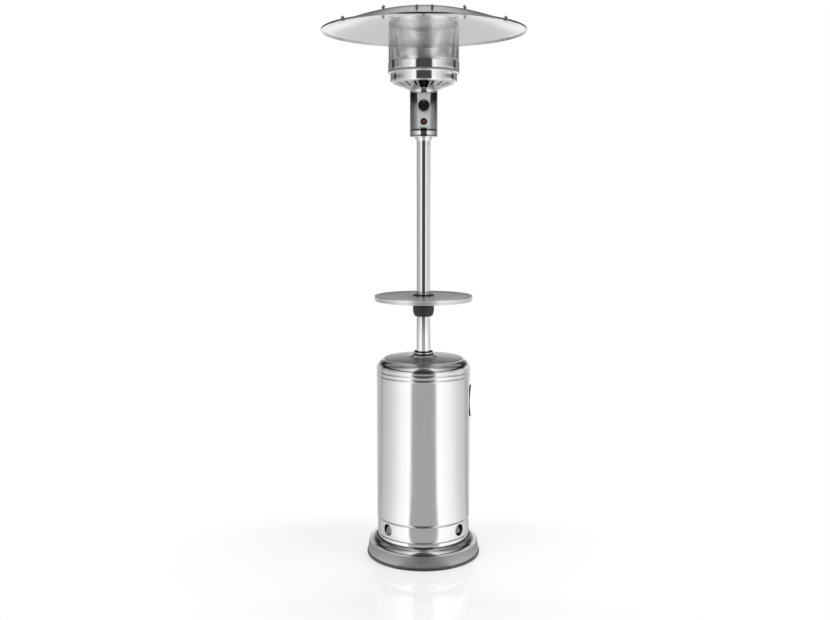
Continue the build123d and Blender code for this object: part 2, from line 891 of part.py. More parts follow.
def support_leg(azimuth):
    """A flat leg: foot on the pan, upright, slope and flat end under the socket plate."""
    outer_r = leg_r + leg_t
    top_z = socket_plate_z - seat_gap
    points = (
        (leg_foot_r, leg_foot_z),
        (outer_r, leg_foot_z),
        (outer_r, leg_bend_z),
        (leg_top_bend_r, top_z),
        (leg_top_r, top_z),
    )
    path = FilletPolyline(*points, radius=leg_bend)
    leg = extrude(wall_face(path, leg_t), leg_w / 2, both=True)
    foot_hole = upright(leg_bolt_r + hole_gap, leg_foot_z - overrun, leg_foot_z + leg_t + overrun, leg_bolt_foot_r)
    top_hole = upright(leg_bolt_r + hole_gap, top_z - leg_t - overrun, top_z + overrun, leg_bolt_top_r)
    return at(azimuth) * (leg - foot_hole - top_hole)


def leg_bolt(low_face_z, top_face_z, radius, azimuth):
    """A bolt from above, with its nut below."""
    head_z = top_face_z + seat_gap
    nut_z = low_face_z - seat_gap - leg_bolt_head
    end_z = nut_z - leg_bolt_r
    head = Pos(0, 0, head_z) * hexagon(leg_bolt_head_r, leg_bolt_head)
    shank = upright(leg_bolt_r, end_z, head_z + leg_bolt_head / 2)
    nut = Pos(0, 0, nut_z) * hexagon(leg_bolt_head_r, leg_bolt_head)
    return at(azimuth, radius) * (head + shank + nut)


def leg_bolts():
    """One bolt at the foot and one at the top of each leg."""
    bolts = []
    for azimuth in leg_azimuths:
        foot_top = leg_foot_z + leg_t
        bolts.append(leg_bolt(base_top_z - base_sheet, foot_top, leg_bolt_foot_r, azimuth))
        leg_end_low = socket_plate_z - seat_gap - leg_t
        bolts.append(leg_bolt(leg_end_low, socket_plate_z + socket_plate, leg_bolt_top_r, azimuth))
    return group(bolts)


def post_socket():
    """The plate on the legs, with the tube that the post stands in."""
    top_z = socket_plate_z + socket_plate
    tube_r = post_bore_r + socket_tube_wall
    socket = upright(socket_plate_r, socket_plate_z, top_z) + tube(tube_r, post_bore_r, top_z, socket_tube_top_z)
    socket -= upright(socket_hole_r, socket_plate_z - overrun, top_z + overrun)
    for azimuth in leg_azimuths:
        hole = upright(leg_bolt_r + hole_gap, socket_plate_z - overrun, top_z + overrun)
        socket -= at(azimuth, leg_bolt_top_r) * hole
    for azimuth in post_screw_azimuths:
        socket -= radial_rod(post_screw_r + seat_gap, azimuth, post_screw_low_z, post_inner_r, tube_r + overrun)
    return socket


def main_post():
    """The round tube, with its screw holes at both ends."""
    post = tube(post_r, post_inner_r, post_low_z, post_top_z)
    for azimuth in post_screw_azimuths:
        for z in (post_screw_low_z, post_screw_top_z):
            post -= radial_rod(post_screw_r + seat_gap, azimuth, z, post_inner_r - overrun, post_r + overrun)
    return post


def post_screws():
    """Four screws into the socket and four into the head's sleeve."""
    screws = []
    for azimuth in post_screw_azimuths:
        low_face = post_bore_r + socket_tube_wall
        low = (azimuth, post_screw_low_z, low_face, post_inner_r)
        top = (azimuth, post_screw_top_z, post_r, spigot_r - spigot_wall)
        for place in (low, top):
            screws.append(screw(*place, post_screw_r, post_screw_head_r, post_screw_head))
    return group(screws)


# Table

def table_top():
    """The round table: a flat sheet with a deep rim that rolls inwards."""
    r = table_r
    corner = table_corner
    low_z = table_top_z - table_depth
    path = Line((r - corner - table_roll, low_z), (r - corner, low_z))
    path += RadiusArc((r - corner, low_z), (r, low_z + corner), -corner)
    path += Line((r, low_z + corner), (r, table_top_z - corner))
    path += RadiusArc((r, table_top_z - corner), (r - corner, table_top_z), -corner)
    path += Line((r - corner, table_top_z), (table_hole_r, table_top_z))
    return turned_sheet(path, table_sheet)


def table_trim_ring():
    """The black ring in the table's middle: a flange with a sleeve through the hole."""
    low_z = table_top_z + seat_gap
    top_z = low_z + trim_h
    sleeve_z = low_z - trim_sleeve_h
    outline = (
        (post_bore_r, sleeve_z),
        (trim_sleeve_r, sleeve_z),
        (trim_sleeve_r, low_z),
        (trim_r, low_z),
        (trim_r, top_z - trim_corner),
        (trim_r - trim_corner, top_z),
        (post_bore_r, top_z),
    )
    return turned(outline)


def clamp_collet():
    """The split sleeve that carries the table and is squeezed onto the post."""
    top_z = table_under_z - seat_gap
    flange_z = top_z - collet_flange_h
    sleeve_top_z = table_top_z - trim_sleeve_h - 2 * seat_gap
    outline = (
        (post_bore_r, collet_low_z),
        (collet_r, collet_low_z),
        (collet_r, flange_z),
        (collet_flange_r, flange_z),
        (collet_flange_r, top_z),
        (trim_sleeve_r + seat_gap, top_z),
        (trim_sleeve_r + seat_gap, sleeve_top_z),
        (post_bore_r, sleeve_top_z),
    )
    collet = turned(outline)
    for index in range(collet_slits):
        slit = Pos(collet_r, 0, collet_low_z) * Box(collet_r, collet_slit_w, 2 * collet_slit_h)
        collet -= at(index * full_turn / collet_slits) * slit
    return collet


def clamp_nut():
    """The fluted nut round the collet."""
    bore = collet_r + running_gap
    outline = (
        (bore, nut_low_z),
        (nut_low_r, nut_low_z),
        (nut_waist_r, nut_waist_z),
        (nut_r, nut_grip_z),
        (nut_r, nut_top_z - nut_lip_h),
        (nut_lip_r, nut_top_z - nut_lip_h),
        (nut_lip_r, nut_top_z),
        (bore, nut_top_z),
    )
    nut = turned(outline)
    groove_r = nut_r - nut_flute_depth + nut_flute_r
    groove = upright(nut_flute_r, nut_waist_z, nut_top_z - nut_lip_h)
    for index in range(nut_flutes):
        nut -= at(index * full_turn / nut_flutes, groove_r) * groove
    return nut


# Control head casing

def head_spigot():
    """The flared collar over the post's end, with the sleeve inside the post."""
    slot_r = post_r + seat_gap
    top_z = box_base_z - seat_gap
    slot_z = post_top_z + seat_gap
    outline = (
        (spigot_r - spigot_wall, spigot_low_z),
        (spigot_r, spigot_low_z),
        (spigot_r, slot_z),
        (slot_r, slot_z),
        (slot_r, spigot_flare_low_z),
        (spigot_flare_low_r, spigot_flare_low_z),
        (spigot_flare_r, top_z),
        (spigot_r - spigot_wall, top_z),
    )
    spigot = turned(outline)
    for azimuth in post_screw_azimuths:
        hole = radial_rod(post_screw_r + seat_gap, azimuth, post_screw_top_z, spigot_r - 2 * spigot_wall, post_r)
        spigot -= hole
    return spigot


def valve_box_base():
    """The lower cup of the casing, with a ring of small vents in its floor."""
    inner = spigot_r - spigot_wall
    r = box_base_r
    corner = box_base_corner
    path = Line((inner, box_base_z), (r - corner, box_base_z))
    path += RadiusArc((r - corner, box_base_z), (r, box_base_z + corner), -corner)
    path += Line((r, box_base_z + corner), (r, box_base_top_z))
    cup = turned_sheet(path, box_sheet)
    vent_angle = full_turn / box_vents
    for index in range(box_vents):
        start = (index + vent_side_share) * vent_angle
        vent_out_r = box_vent_in_r + box_vent_w
        low_z = box_base_z - overrun
        cup -= ring(vent_out_r, box_vent_in_r, low_z, box_base_z + overrun, start, vent_angle * vent_share)
    for azimuth in box_screw_azimuths:
        cup -= radial_rod(box_screw_r + seat_gap, azimuth, box_screw_low_z, r - overrun, r + overrun)
    return cup


def valve_box_shell():
    """The casing's wall, open at the front for the panel."""
    low_z = box_base_top_z + seat_gap
    path = Polyline((box_r, low_z), (box_r, box_top_z), (box_r - box_flange, box_top_z))
    shell = turned_sheet(path, box_sheet)
    window_w = panel_w + 2 * seat_gap
    window_low = panel_low_z - seat_gap
    window_h = panel_top_z - panel_low_z + 2 * seat_gap
    window = Pos(0, -box_r, window_low + window_h / 2) * Box(window_w, box_r, window_h)
    return shell - window


def control_panel():
    """The flat front plate, with the holes of the stem and the igniter."""
    height = panel_top_z - panel_low_z
    plate = Pos(0, panel_t / 2 - panel_y, panel_low_z + height / 2) * Box(panel_w, panel_t, height)
    plate -= forward_rod(stem_r + hole_gap, knob_z, panel_y - overrun, panel_y + overrun)
    return plate - forward_rod(bezel_thread_r + seat_gap, igniter_z, panel_y - overrun, panel_y + overrun)


def bowl_collar():
    """The shiny ring between the casing and the burner bowl."""
    low_z = box_top_z + seat_gap
    path = Polyline((collar_r, low_z), (collar_r, collar_flare_z), (collar_flare_r, collar_top_z))
    ring_sheet = turned_sheet(path, box_sheet)
    for azimuth in box_screw_azimuths:
        ring_sheet -= radial_rod(box_screw_r + seat_gap, azimuth, box_screw_top_z, collar_r - overrun, collar_r + overrun)
    return ring_sheet


def box_screws():
    """Four screws round the base cup and four round the collar."""
    screws = []
    for azimuth in box_screw_azimuths:
        for z, face_r in ((box_screw_low_z, box_base_r), (box_screw_top_z, collar_r)):
            inner = face_r - box_sheet - box_screw_head
            screws.append(screw(azimuth, z, face_r, inner, box_screw_r, box_screw_head_r, box_screw_head))
    return group(screws)


# Gas control

def control_knob():
    """The knob: a fluted cap on a skirt, with a raised grip that ends in a pointer."""
    back_y = panel_y + knob_standoff
    skirt_y = back_y + knob_skirt
    front_y = back_y + knob_depth
    cap_face = Circle(knob_r)
    notch_circle_r = knob_r + knob_flute_r / 2
    for index in range(knob_flutes):
        angle = index * full_turn / knob_flutes
        cap_face -= Rot(0, 0, angle) * Pos(notch_circle_r, 0) * Circle(knob_flute_r)
    cap = Pos(0, -skirt_y, knob_z) * Rot(quarter_turn, 0, 0) * extrude(cap_face, front_y - knob_edge - skirt_y)
    skirt = forward_rod(knob_skirt_r, knob_z, back_y, skirt_y)
    half = knob_grip_w / 2
    grip_points = ((-half, -knob_r), (half, -knob_r), (half, knob_r), (0, knob_tip_r), (-half, knob_r))
    grip_outline = Polyline(*grip_points, close=True)
    grip = Pos(0, -skirt_y, knob_z) * Rot(quarter_turn, 0, 0) * extrude(make_face(grip_outline), front_y - skirt_y)
    bore = forward_rod(stem_r + running_gap, knob_z, back_y - overrun, back_y + stem_in_knob)
    return skirt + cap + grip - bore


def valve_stem():
    """The shaft from the valve to the knob."""
    knob_back = panel_y + knob_standoff
    back_y = valve_front_y + plunger_gap + plunger_h + seat_gap
    return forward_rod(stem_r, knob_z, back_y, knob_back + stem_in_knob - seat_gap)


def valve_plunger():
    """The disc that the stem pushes into the valve."""
    back_y = valve_front_y + plunger_gap
    disc = forward_rod(plunger_r, knob_z, back_y, back_y + plunger_h)
    return disc + forward_rod(stem_r, knob_z, valve_front_y - stem_in_valve, back_y)


def gas_valve():
    """The valve's body, with the guide of the plunger and the outlet on top."""
    length = valve_front_y + valve_back_y
    middle_y = (valve_back_y - valve_front_y) / 2
    body = Pos(0, middle_y, knob_z) * Box(valve_w, length, valve_h)
    body = fillet(body.edges().filter_by(Axis.Y), valve_edge_r)
    deep_y = valve_front_y - stem_in_valve - knob_push - part_gap
    return body - forward_rod(stem_r + running_gap, knob_z, deep_y, valve_front_y + overrun)


# Ignition

def igniter_bezel():
    """The round bezel with the threaded body behind the panel."""
    face_y = panel_y + seat_gap
    front = forward_rod(bezel_r, igniter_z, face_y, face_y + bezel_proud)
    front = chamfer(front.edges().filter_by(GeomType.CIRCLE).sort_by(Axis.Y)[0], bezel_edge)
    body = forward_rod(bezel_thread_r, igniter_z, panel_y - bezel_depth, face_y + bezel_proud / 2)
    bore = forward_rod(button_r + running_gap, igniter_z, panel_y - bezel_depth - overrun, panel_y + overrun)
    return front + body - bore


def igniter_button():
    """The push button."""
    front_y = panel_y + bezel_proud + button_proud
    button = forward_rod(button_r, igniter_z, front_y - button_depth, front_y)
    return fillet(button.edges().filter_by(GeomType.CIRCLE).sort_by(Axis.Y)[0], button_dome)


def piezo_igniter():
    """The piezo body behind the button."""
    front_y = panel_y - bezel_depth - seat_gap
    return forward_rod(igniter_r, igniter_z, front_y - igniter_l, front_y)


def tilt_switch():
    """The small box that cuts the gas when the heater falls, on a foot on the casing's floor."""
    floor_z = box_base_z + box_sheet + seat_gap
    body = Pos(-tilt_x, tilt_y, tilt_z) * Box(tilt_w, tilt_w, tilt_h)
    foot_h = tilt_z - tilt_h / 2 - floor_z
    return body + Pos(-tilt_x, tilt_y, floor_z + foot_h / 2) * Box(tilt_w + 2 * tilt_foot, tilt_w, foot_h)


# Pipes

def supply_pipe():
    """The pipe from the inlet in the post up to the valve."""
    low_z = inlet_low_z + inlet_l + inlet_hex_h + seat_gap
    return upright(supply_r, low_z, knob_z - valve_h / 2 - seat_gap)


def gas_inlet_fitting():
    """The threaded stub with its hexagon, where the hose is screwed on."""
    hex_z = inlet_low_z + inlet_l
    stub = upright(inlet_r, inlet_low_z, hex_z)
    return stub + Pos(0, 0, hex_z) * hexagon(inlet_hex_r, inlet_hex_h)


def riser(x, low_z, top_z, radius, start_x=None):
    """A thin pipe that climbs beside the axis, runs forward under the bowl and climbs again to the flame."""
    points = [(x, -riser_y, low_z), (x, -riser_y, riser_turn_z), (x, -pilot_y, pilot_turn_z), (x, -pilot_y, top_z)]
    section = Pos(x, -riser_y, low_z) * Circle(radius)
    if start_x is not None:
        points.insert(0, (start_x, -riser_y, low_z))
        section = Pos(start_x, -riser_y, low_z) * Rot(0, quarter_turn, 0) * Circle(radius)
    route = FilletPolyline(*points, radius=riser_bend)
    return sweep(section, path=route)


def pilot_pipe():
    """The pilot's pipe and its burner tip."""
    tip_low_z = pilot_tip_z - pilot_tip_h
    pipe = riser(0, knob_z + valve_h / 2 + seat_gap, tip_low_z + pilot_tip_h / 2, pilot_pipe_r)
    return pipe + upright(pilot_tip_r, tip_low_z, pilot_tip_z, 0, -pilot_y)


def thermocouple():
    """The flame sensor and its lead."""
    top_z = pilot_tip_z
    lead = riser(-probe_x, knob_z + valve_h / 2 + seat_gap, top_z - probe_h / 2, probe_lead_r)
    return lead + upright(probe_r, top_z - probe_h, top_z, -probe_x, -pilot_y)


def spark_electrode():
    """The ceramic electrode, its wire tip and its lead from the piezo."""
    top_z = pilot_tip_z - electrode_wire_h
    lead = riser(electrode_x, igniter_z, top_z - electrode_h / 2, electrode_lead_r, igniter_r + seat_gap)
    body = upright(electrode_r, top_z - electrode_h, top_z, electrode_x, -pilot_y)
    return lead + body + upright(electrode_wire_r, top_z - electrode_wire_r, pilot_tip_z, electrode_x, -pilot_y)


# Burner bowl

def burner_bowl():
    """The slotted cone with the lower band and the bead above it."""
    path = Polyline(
        (bowl_hole_r, bowl_foot_z),
        (bowl_foot_r, bowl_foot_z),
        (bowl_cone_r, bowl_cone_z),
        (bowl_band_r, bowl_band_low_z),
        (bowl_band_r, bowl_band_top_z),
        (bead_root_r, bead_low_z),
    )
    bead_mid_z = (bead_low_z + bead_top_z) / 2
    path += ThreePointArc((bead_root_r, bead_low_z), (bead_r, bead_mid_z), (bead_root_r, bead_top_z))
    bowl = turned_sheet(path, bowl_sheet)
    slot_angle = full_turn / slots * slot_share
    cut_low_z = bowl_foot_z - overrun
    for index in range(1, slots):
        start = index * full_turn / slots - slot_angle / 2
        bowl -= ring(slot_out_r, slot_in_r, cut_low_z, bowl_band_low_z, start, slot_angle)
    opening_angle = degrees_along(front_opening_w, (slot_in_r + slot_out_r) / 2)
    return bowl - ring(slot_out_r, slot_in_r, cut_low_z, bowl_band_low_z, -opening_angle / 2, opening_angle)


def burner_band():
    """The upper band, with the floor ring that the burner's strap lies on."""
    low_z = bead_top_z + seat_gap
    path = Polyline((band_floor_r, low_z), (band_r, low_z), (band_r, band_top_z))
    band = turned_sheet(path, band_sheet)
    for azimuth in band_screw_azimuths:
        band -= radial_rod(box_screw_r + seat_gap, azimuth, band_screw_z, band_r - overrun, band_r + overrun)
    return band


def band_screws():
    """Four screws through the upper band into the screen."""
    screws = []
    for azimuth in band_screw_azimuths:
        inner = screen_r - screen_sheet - box_screw_head
        screws.append(screw(azimuth, band_screw_z, band_r, inner, box_screw_r, box_screw_head_r, box_screw_head))
    return group(screws)


# Burner

def burner_bridge():
    """The strap across the bowl that carries the burner and the pilot."""
    reach = band_r - band_sheet - seat_gap
    strap = Box(bridge_w, 2 * bridge_r, bridge_t) & Cylinder(reach, bridge_t)
    strap = Pos(0, 0, bridge_z + bridge_t / 2) * strap
    strap -= upright(mixing_r + seat_gap, bridge_z - overrun, bridge_z + overrun)
    for x, radius in ((0, pilot_tip_r), (-probe_x, probe_r), (electrode_x, electrode_r)):
        strap -= upright(radius + seat_gap, bridge_z - overrun, bridge_z + overrun, x, -pilot_y)
    return strap


def gas_jet():
    """The brass jet over the valve that blows gas into the mixing tube."""
    pipe_low_z = knob_z + valve_h / 2 + seat_gap
    pipe = upright(supply_r, pipe_low_z, jet_z + jet_h / 2)
    tip_z = jet_z + jet_h
    body = Pos(0, 0, jet_z) * hexagon(jet_r, jet_h)
    tip = upright(jet_tip_r, tip_z, tip_z + jet_tip_h)
    return pipe + body + tip - upright(jet_bore_r, tip_z, tip_z + jet_tip_h + overrun)


def mixing_tube():
    """The tube in which air joins the gas, with its air holes."""
    pipe = tube(mixing_r, mixing_r - mixing_wall, mixing_low_z, bridge_z + bridge_t + seat_gap)
    for index in range(mixing_air_holes):
        azimuth = (index + 1 / 2) * full_turn / mixing_air_holes
        pipe -= radial_rod(mixing_air_r, azimuth, mixing_air_z, 0, mixing_r + overrun)
    return pipe


def burner_head():
    """The flat drum on the mixing tube, with its ring of flame ports on top."""
    low_z = bridge_z + bridge_t + seat_gap + seat_gap
    top_z = low_z + burner_h
    sheet = burner_sheet
    drum = tube(burner_r, mixing_r - mixing_wall, low_z, low_z + sheet)
    drum += tube(burner_r, burner_r - sheet, low_z + sheet, top_z - sheet)
    drum += upright(burner_r, top_z - sheet, top_z)
    port_angle = full_turn / burner_ports
    port_out_r = burner_port_in_r + burner_port_w
    for index in range(burner_ports):
        start = index * port_angle
        drum -= ring(port_out_r, burner_port_in_r, top_z - overrun, top_z + overrun, start, port_angle * port_share)
    return drum


def pilot_bracket():
    """The bent strip under the bridge that steadies the pilot's pipes in the bowl's front opening."""
    top_z = bridge_z - seat_gap
    front_y = pilot_y + pilot_bracket_leg
    points = ((pilot_y - pilot_bracket_leg, top_z), (front_y, top_z), (front_y, pilot_bracket_z))
    path = FilletPolyline(*points, radius=2 * pilot_bracket_t)
    face = Plane.XZ * make_face(offset(path, amount=pilot_bracket_t, side=Side.RIGHT))
    strip = at(0) * extrude(face, pilot_bracket_w / 2, both=True)
    for x, radius in ((0, pilot_tip_r), (-probe_x, probe_r), (electrode_x, electrode_r)):
        strip -= upright(radius + seat_gap, top_z - overrun, top_z + overrun, x, -pilot_y)
    return strip


# Emitter screen

def emitter_screen():
    """The glowing screen: a drum of narrow flats, each with a column of diamond holes."""
    flat_in_r = screen_r - screen_sheet
    drum_face = RegularPolygon(screen_r, screen_flats, major_radius=False)
    drum_face -= RegularPolygon(flat_in_r, screen_flats, major_radius=False)
    drum_face = Rot(0, 0, half_turn / screen_flats) * drum_face
    screen = Pos(0, 0, screen_low_z) * extrude(drum_face, screen_top_z - screen_low_z)
    half_w = mesh_hole_w / 2
    half_h = mesh_hole_h / 2
    diamond = make_face(Polyline((half_h, 0), (0, half_w), (-half_h, 0), (0, -half_w), close=True))
    cutter = Rot(0, quarter_turn, 0) * extrude(diamond, 2 * overrun)
    cutters = []
    for column in range(screen_flats):
        azimuth = column * full_turn / screen_flats
        stagger = (column % 2) * mesh_pitch_z / 2
        for row in range(mesh_rows):
            z = mesh_low_z + row * mesh_pitch_z + stagger
            cutters.append(at(azimuth, screen_r - overrun, z) * cutter)
    screen = screen - cutters
    for azimuth in band_screw_azimuths:
        hole = radial_rod(box_screw_r + seat_gap, azimuth, band_screw_z, screen_r - overrun, screen_r + overrun)
        screen -= hole
    return screen


def screen_top_plate():
    """The lid of the screen, with its rim inside the screen's top."""
    r = screen_r - screen_sheet - seat_gap
    path = Polyline((r, top_plate_z - top_plate_rim), (r, top_plate_z), (0, top_plate_z))
    return turned_sheet(path, top_plate_sheet)


# Reflector

def surface_z(radius):
    """The height of the reflector's outer side at a radius, inside its lip."""
    if radius > reflector_cap_r:
        return cap_foot_z - (radius - reflector_cap_r) * math.tan(math.radians(reflector_slope))
    return cap_centre_z + math.sqrt(cap_radius ** 2 - radius ** 2)


def surface_slope(radius):
    """The slope of the reflector at a radius, inside its lip."""
    if radius > reflector_cap_r:
        return reflector_slope
    return math.degrees(math.asin(radius / cap_radius))


def dome_path(out_r, in_r):
    """The reflector's outer side between two radii, inside its lip."""
    cap_mid_r = (reflector_cap_r + in_r) / 2
    foot = (reflector_cap_r, cap_foot_z)
    path = Line((out_r, surface_z(out_r)), foot)
    return path + ThreePointArc(foot, (cap_mid_r, surface_z(cap_mid_r)), (in_r, surface_z(in_r)))


def reflector_panel(start):
    """A sector of the reflector, with the lap that goes under the next one."""
    lip_r = reflector_r - reflector_lip
    hem_z = reflector_rim_z - reflector_hem_h
    path = Polyline((reflector_r, hem_z), (reflector_r, reflector_rim_z), (lip_r, lip_top_z))
    path += dome_path(lip_r, reflector_hole_r)
    seam_r = seam_bolt_circle_r
    gap = degrees_along(seam_gap, seam_r)
    panel = turned_sheet(path, reflector_sheet, start + gap / 2, sector_angle - gap)
    lap_path = dome_path(seam_lap_end_r, seam_lap_start_r)
    drop = reflector_sheet
    lap_face = Pos(0, 0, -drop) * wall_face(lap_path, reflector_sheet)
    half_lap = degrees_along(seam_lap, seam_r)
    lap = revolve(at(start + sector_angle - half_lap) * Pos(0, 0, -part_gap) * lap_face, Axis.Z, 2 * half_lap)
    tie_angle = half_lap - gap
    tie_start = start + sector_angle - half_lap
    tie = revolve(at(tie_start) * Pos(0, 0, -drop / 2) * wall_face(lap_path, reflector_sheet), Axis.Z, tie_angle)
    panel = panel + (lap + tie)
    for azimuth in (start, start + sector_angle):
        hole = upright(stud_r + hole_gap, -2 * overrun, overrun)
        panel -= on_surface(azimuth, seam_bolt_circle_r) * hole
        panel -= on_surface(azimuth, stud_circle_r, True) * hole
    if start < full_turn < start + sector_angle:
        for side in (-1, 1):
            place = on_surface(side * front_bolt_azimuth, front_bolt_r)
            panel -= place * upright(stud_r + hole_gap, -overrun, overrun)
    return panel


def on_surface(azimuth, radius, upright_axis=False):
    """A place on the reflector's outer side, square to it unless the axis stays upright."""
    place = at(azimuth, radius, surface_z(radius))
    if upright_axis:
        return place
    return place * Rot(0, surface_slope(radius), 0)


def centre_disc():
    """The disc and bolt that hold the tips of the three sectors together."""
    z = surface_z(reflector_hole_r) + seat_gap
    disc_top = z + centre_disc_t
    under_z = surface_z(reflector_hole_r) - reflector_sheet - centre_disc_t
    disc = upright(centre_disc_r, z, disc_top)
    head = Pos(0, 0, disc_top) * hexagon(centre_bolt_head_r, centre_bolt_head)
    shank = upright(centre_bolt_r, under_z - centre_bolt_head, disc_top)
    under = upright(reflector_hole_r + centre_bolt_head_r, under_z - centre_disc_t, under_z)
    nut = Pos(0, 0, under_z - centre_disc_t - centre_bolt_head) * hexagon(centre_bolt_head_r, centre_bolt_head)
    return joined((disc, head, shank, under, nut))


def reflector_arms():
    """Three straps on the top plate that reach past the screen."""
    arms = []
    low_z = top_plate_z + seat_gap
    for azimuth in seam_azimuths:
        points = ((arm_out_r, arm_z), (arm_step_r, arm_z), (arm_rise_r, low_z), (arm_in_r, low_z))
        path = Polyline(*points)
        face = Plane.XZ * make_face(offset(path, amount=arm_t, side=Side.RIGHT))
        arm = extrude(face, arm_w / 2, both=True)
        arm -= upright(stud_r + seat_gap, arm_z - overrun, arm_z + overrun, stud_circle_r)
        arms.append(at(azimuth) * arm)
    return group(arms)


def reflector_studs():
    """Three threaded rods with nuts under and over their arm and under the reflector."""
    studs = []
    under_z = surface_z(stud_circle_r) - stud_under_sheets * reflector_sheet - part_gap
    for azimuth in seam_azimuths:
        low_z = arm_z - stud_below
        rod = upright(stud_r, low_z, surface_z(stud_circle_r) + stud_above)
        nut = hexagon(stud_nut_r, stud_nut_h)
        under_arm = Pos(0, 0, arm_z - seat_gap - stud_nut_h) * nut
        over_arm = Pos(0, 0, arm_z + arm_t + seat_gap) * nut
        slope = math.tan(math.radians(surface_slope(stud_circle_r)))
        seat_z = under_z - stud_nut_r * slope
        under_dome = Pos(0, 0, seat_z - stud_nut_h) * nut
        studs.append(at(azimuth, stud_circle_r) * joined((rod, under_arm, over_arm, under_dome)))
    return group(studs)


def wing_nut():
    """A wing nut standing on its origin, with the thread's hole through it."""
    hub = extrude(Circle(wing_hub_r), wing_hub_h)
    half = wing_span / 2
    root_z = wing_hub_h * wing_root_share
    wing_points = (
        (0, root_z),
        (wing_hub_r + wing_t, root_z),
        (half, wing_h - wing_t),
        (half - wing_t, wing_h),
        (wing_hub_r - wing_t / 2, wing_hub_h),
        (0, wing_hub_h),
    )
    wing = extrude(Plane.XZ * make_face(Polyline(*wing_points, close=True)), wing_t / 2, both=True)
    nut = hub + wing + Rot(0, 0, half_turn) * wing
    return nut - upright(stud_r + running_gap, -overrun, wing_h + overrun)


def wing_nut_places():
    """The places of all wing nuts: on the studs, at the seams' outer ends and on the front sector."""
    places = []
    for azimuth in seam_azimuths:
        lift = seat_gap + wing_hub_r * math.tan(math.radians(surface_slope(stud_circle_r)))
        places.append(on_surface(azimuth, stud_circle_r, True) * Pos(0, 0, lift) * Rot(0, 0, quarter_turn))
        places.append(on_surface(azimuth, seam_bolt_circle_r) * Pos(0, 0, seat_gap) * Rot(0, 0, quarter_turn))
    for side in (-1, 1):
        place = on_surface(side * front_bolt_azimuth, front_bolt_r)
        places.append(place * Pos(0, 0, seat_gap) * Rot(0, 0, quarter_turn))
    return places


def wing_nuts():
    """All wing nuts of the reflector."""
    nut = wing_nut()
    return group([place * nut for place in wing_nut_places()])


def surface_bolt(azimuth, radius, layers):
    """A bolt through the reflector from below, square to the sheet."""
    under = -layers * reflector_sheet - (layers - 1) * part_gap - seat_gap
    head = upright(seam_bolt_head_r, under - seam_bolt_head, under)
    shank = upright(stud_r, under - seam_bolt_head / 2, seam_bolt_above)
    return on_surface(azimuth, radius) * (head + shank)


def seam_bolts():
    """The bolts at the seams' outer ends and the two in the front sector."""
    bolts = [surface_bolt(azimuth, seam_bolt_circle_r, seam_layers) for azimuth in seam_azimuths]
    for side in (-1, 1):
        bolts.append(surface_bolt(side * front_bolt_azimuth, front_bolt_r, 1))
    return group(bolts)


# Writing the pieces

def pieces():
    """Every piece of the heater by name."""
    named = {
        "base_pan": base_pan(),
        "base_edge_ring": base_edge_ring(),
        "vent_ring": vent_ring(),
        "leg_bolts": leg_bolts(),
        "post_socket": post_socket(),
        "housing_shell": housing_shell(),
        "housing_lid": housing_lid(),
        "post_grommet": post_grommet(),
        "door_panel": door_panel(),
        "door_handle": door_handle(),
        "frame_hinge_leaves": frame_hinge_leaves(),
        "door_hinge_leaves": door_hinge_leaves(),
        "hinge_pins": hinge_pins(),
        "door_catch": door_catch(),
        "main_post": main_post(),
        "post_screws": post_screws(),
        "table_top": table_top(),
        "table_trim_ring": table_trim_ring(),
        "clamp_collet": clamp_collet(),
        "clamp_nut": clamp_nut(),
        "head_spigot": head_spigot(),
        "valve_box_base": valve_box_base(),
        "valve_box_shell": valve_box_shell(),
        "control_panel": control_panel(),
        "bowl_collar": bowl_collar(),
        "box_screws": box_screws(),
        "control_knob": control_knob(),
        "valve_stem": valve_stem(),
        "valve_plunger": valve_plunger(),
        "gas_valve": gas_valve(),
        "igniter_bezel": igniter_bezel(),
        "igniter_button": igniter_button(),
        "piezo_igniter": piezo_igniter(),
        "tilt_switch": tilt_switch(),
        "supply_pipe": supply_pipe(),
        "gas_inlet_fitting": gas_inlet_fitting(),
        "pilot_pipe": pilot_pipe(),
        "thermocouple": thermocouple(),
        "spark_electrode": spark_electrode(),
        "burner_bowl": burner_bowl(),
        "burner_band": burner_band(),
        "band_screws": band_screws(),
        "burner_bridge": burner_bridge(),
        "gas_jet": gas_jet(),
        "mixing_tube": mixing_tube(),
        "burner_head": burner_head(),
        "pilot_bracket": pilot_bracket(),
        "emitter_screen": emitter_screen(),
        "screen_top_plate": screen_top_plate(),
        "reflector_arms": reflector_arms(),
        "reflector_studs": reflector_studs(),
        "centre_disc": centre_disc(),
        "seam_bolts": seam_bolts(),
        "wing_nuts": wing_nuts(),
    }
    for number, azimuth in enumerate(leg_azimuths, 1):
        named[f"support_leg_{number}"] = support_leg(azimuth)
    for number, azimuth in enumerate(seam_azimuths, 1):
        named[f"reflector_panel_{number}"] = reflector_panel(azimuth)
    return named


os.makedirs("parts", exist_ok=True)
for name, shape in pieces().items():
    export_step(shape, f"parts/{name}.step")
    print(name, round(shape.volume))
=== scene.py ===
import json
import math

import bpy
from mathutils import Matrix, Vector


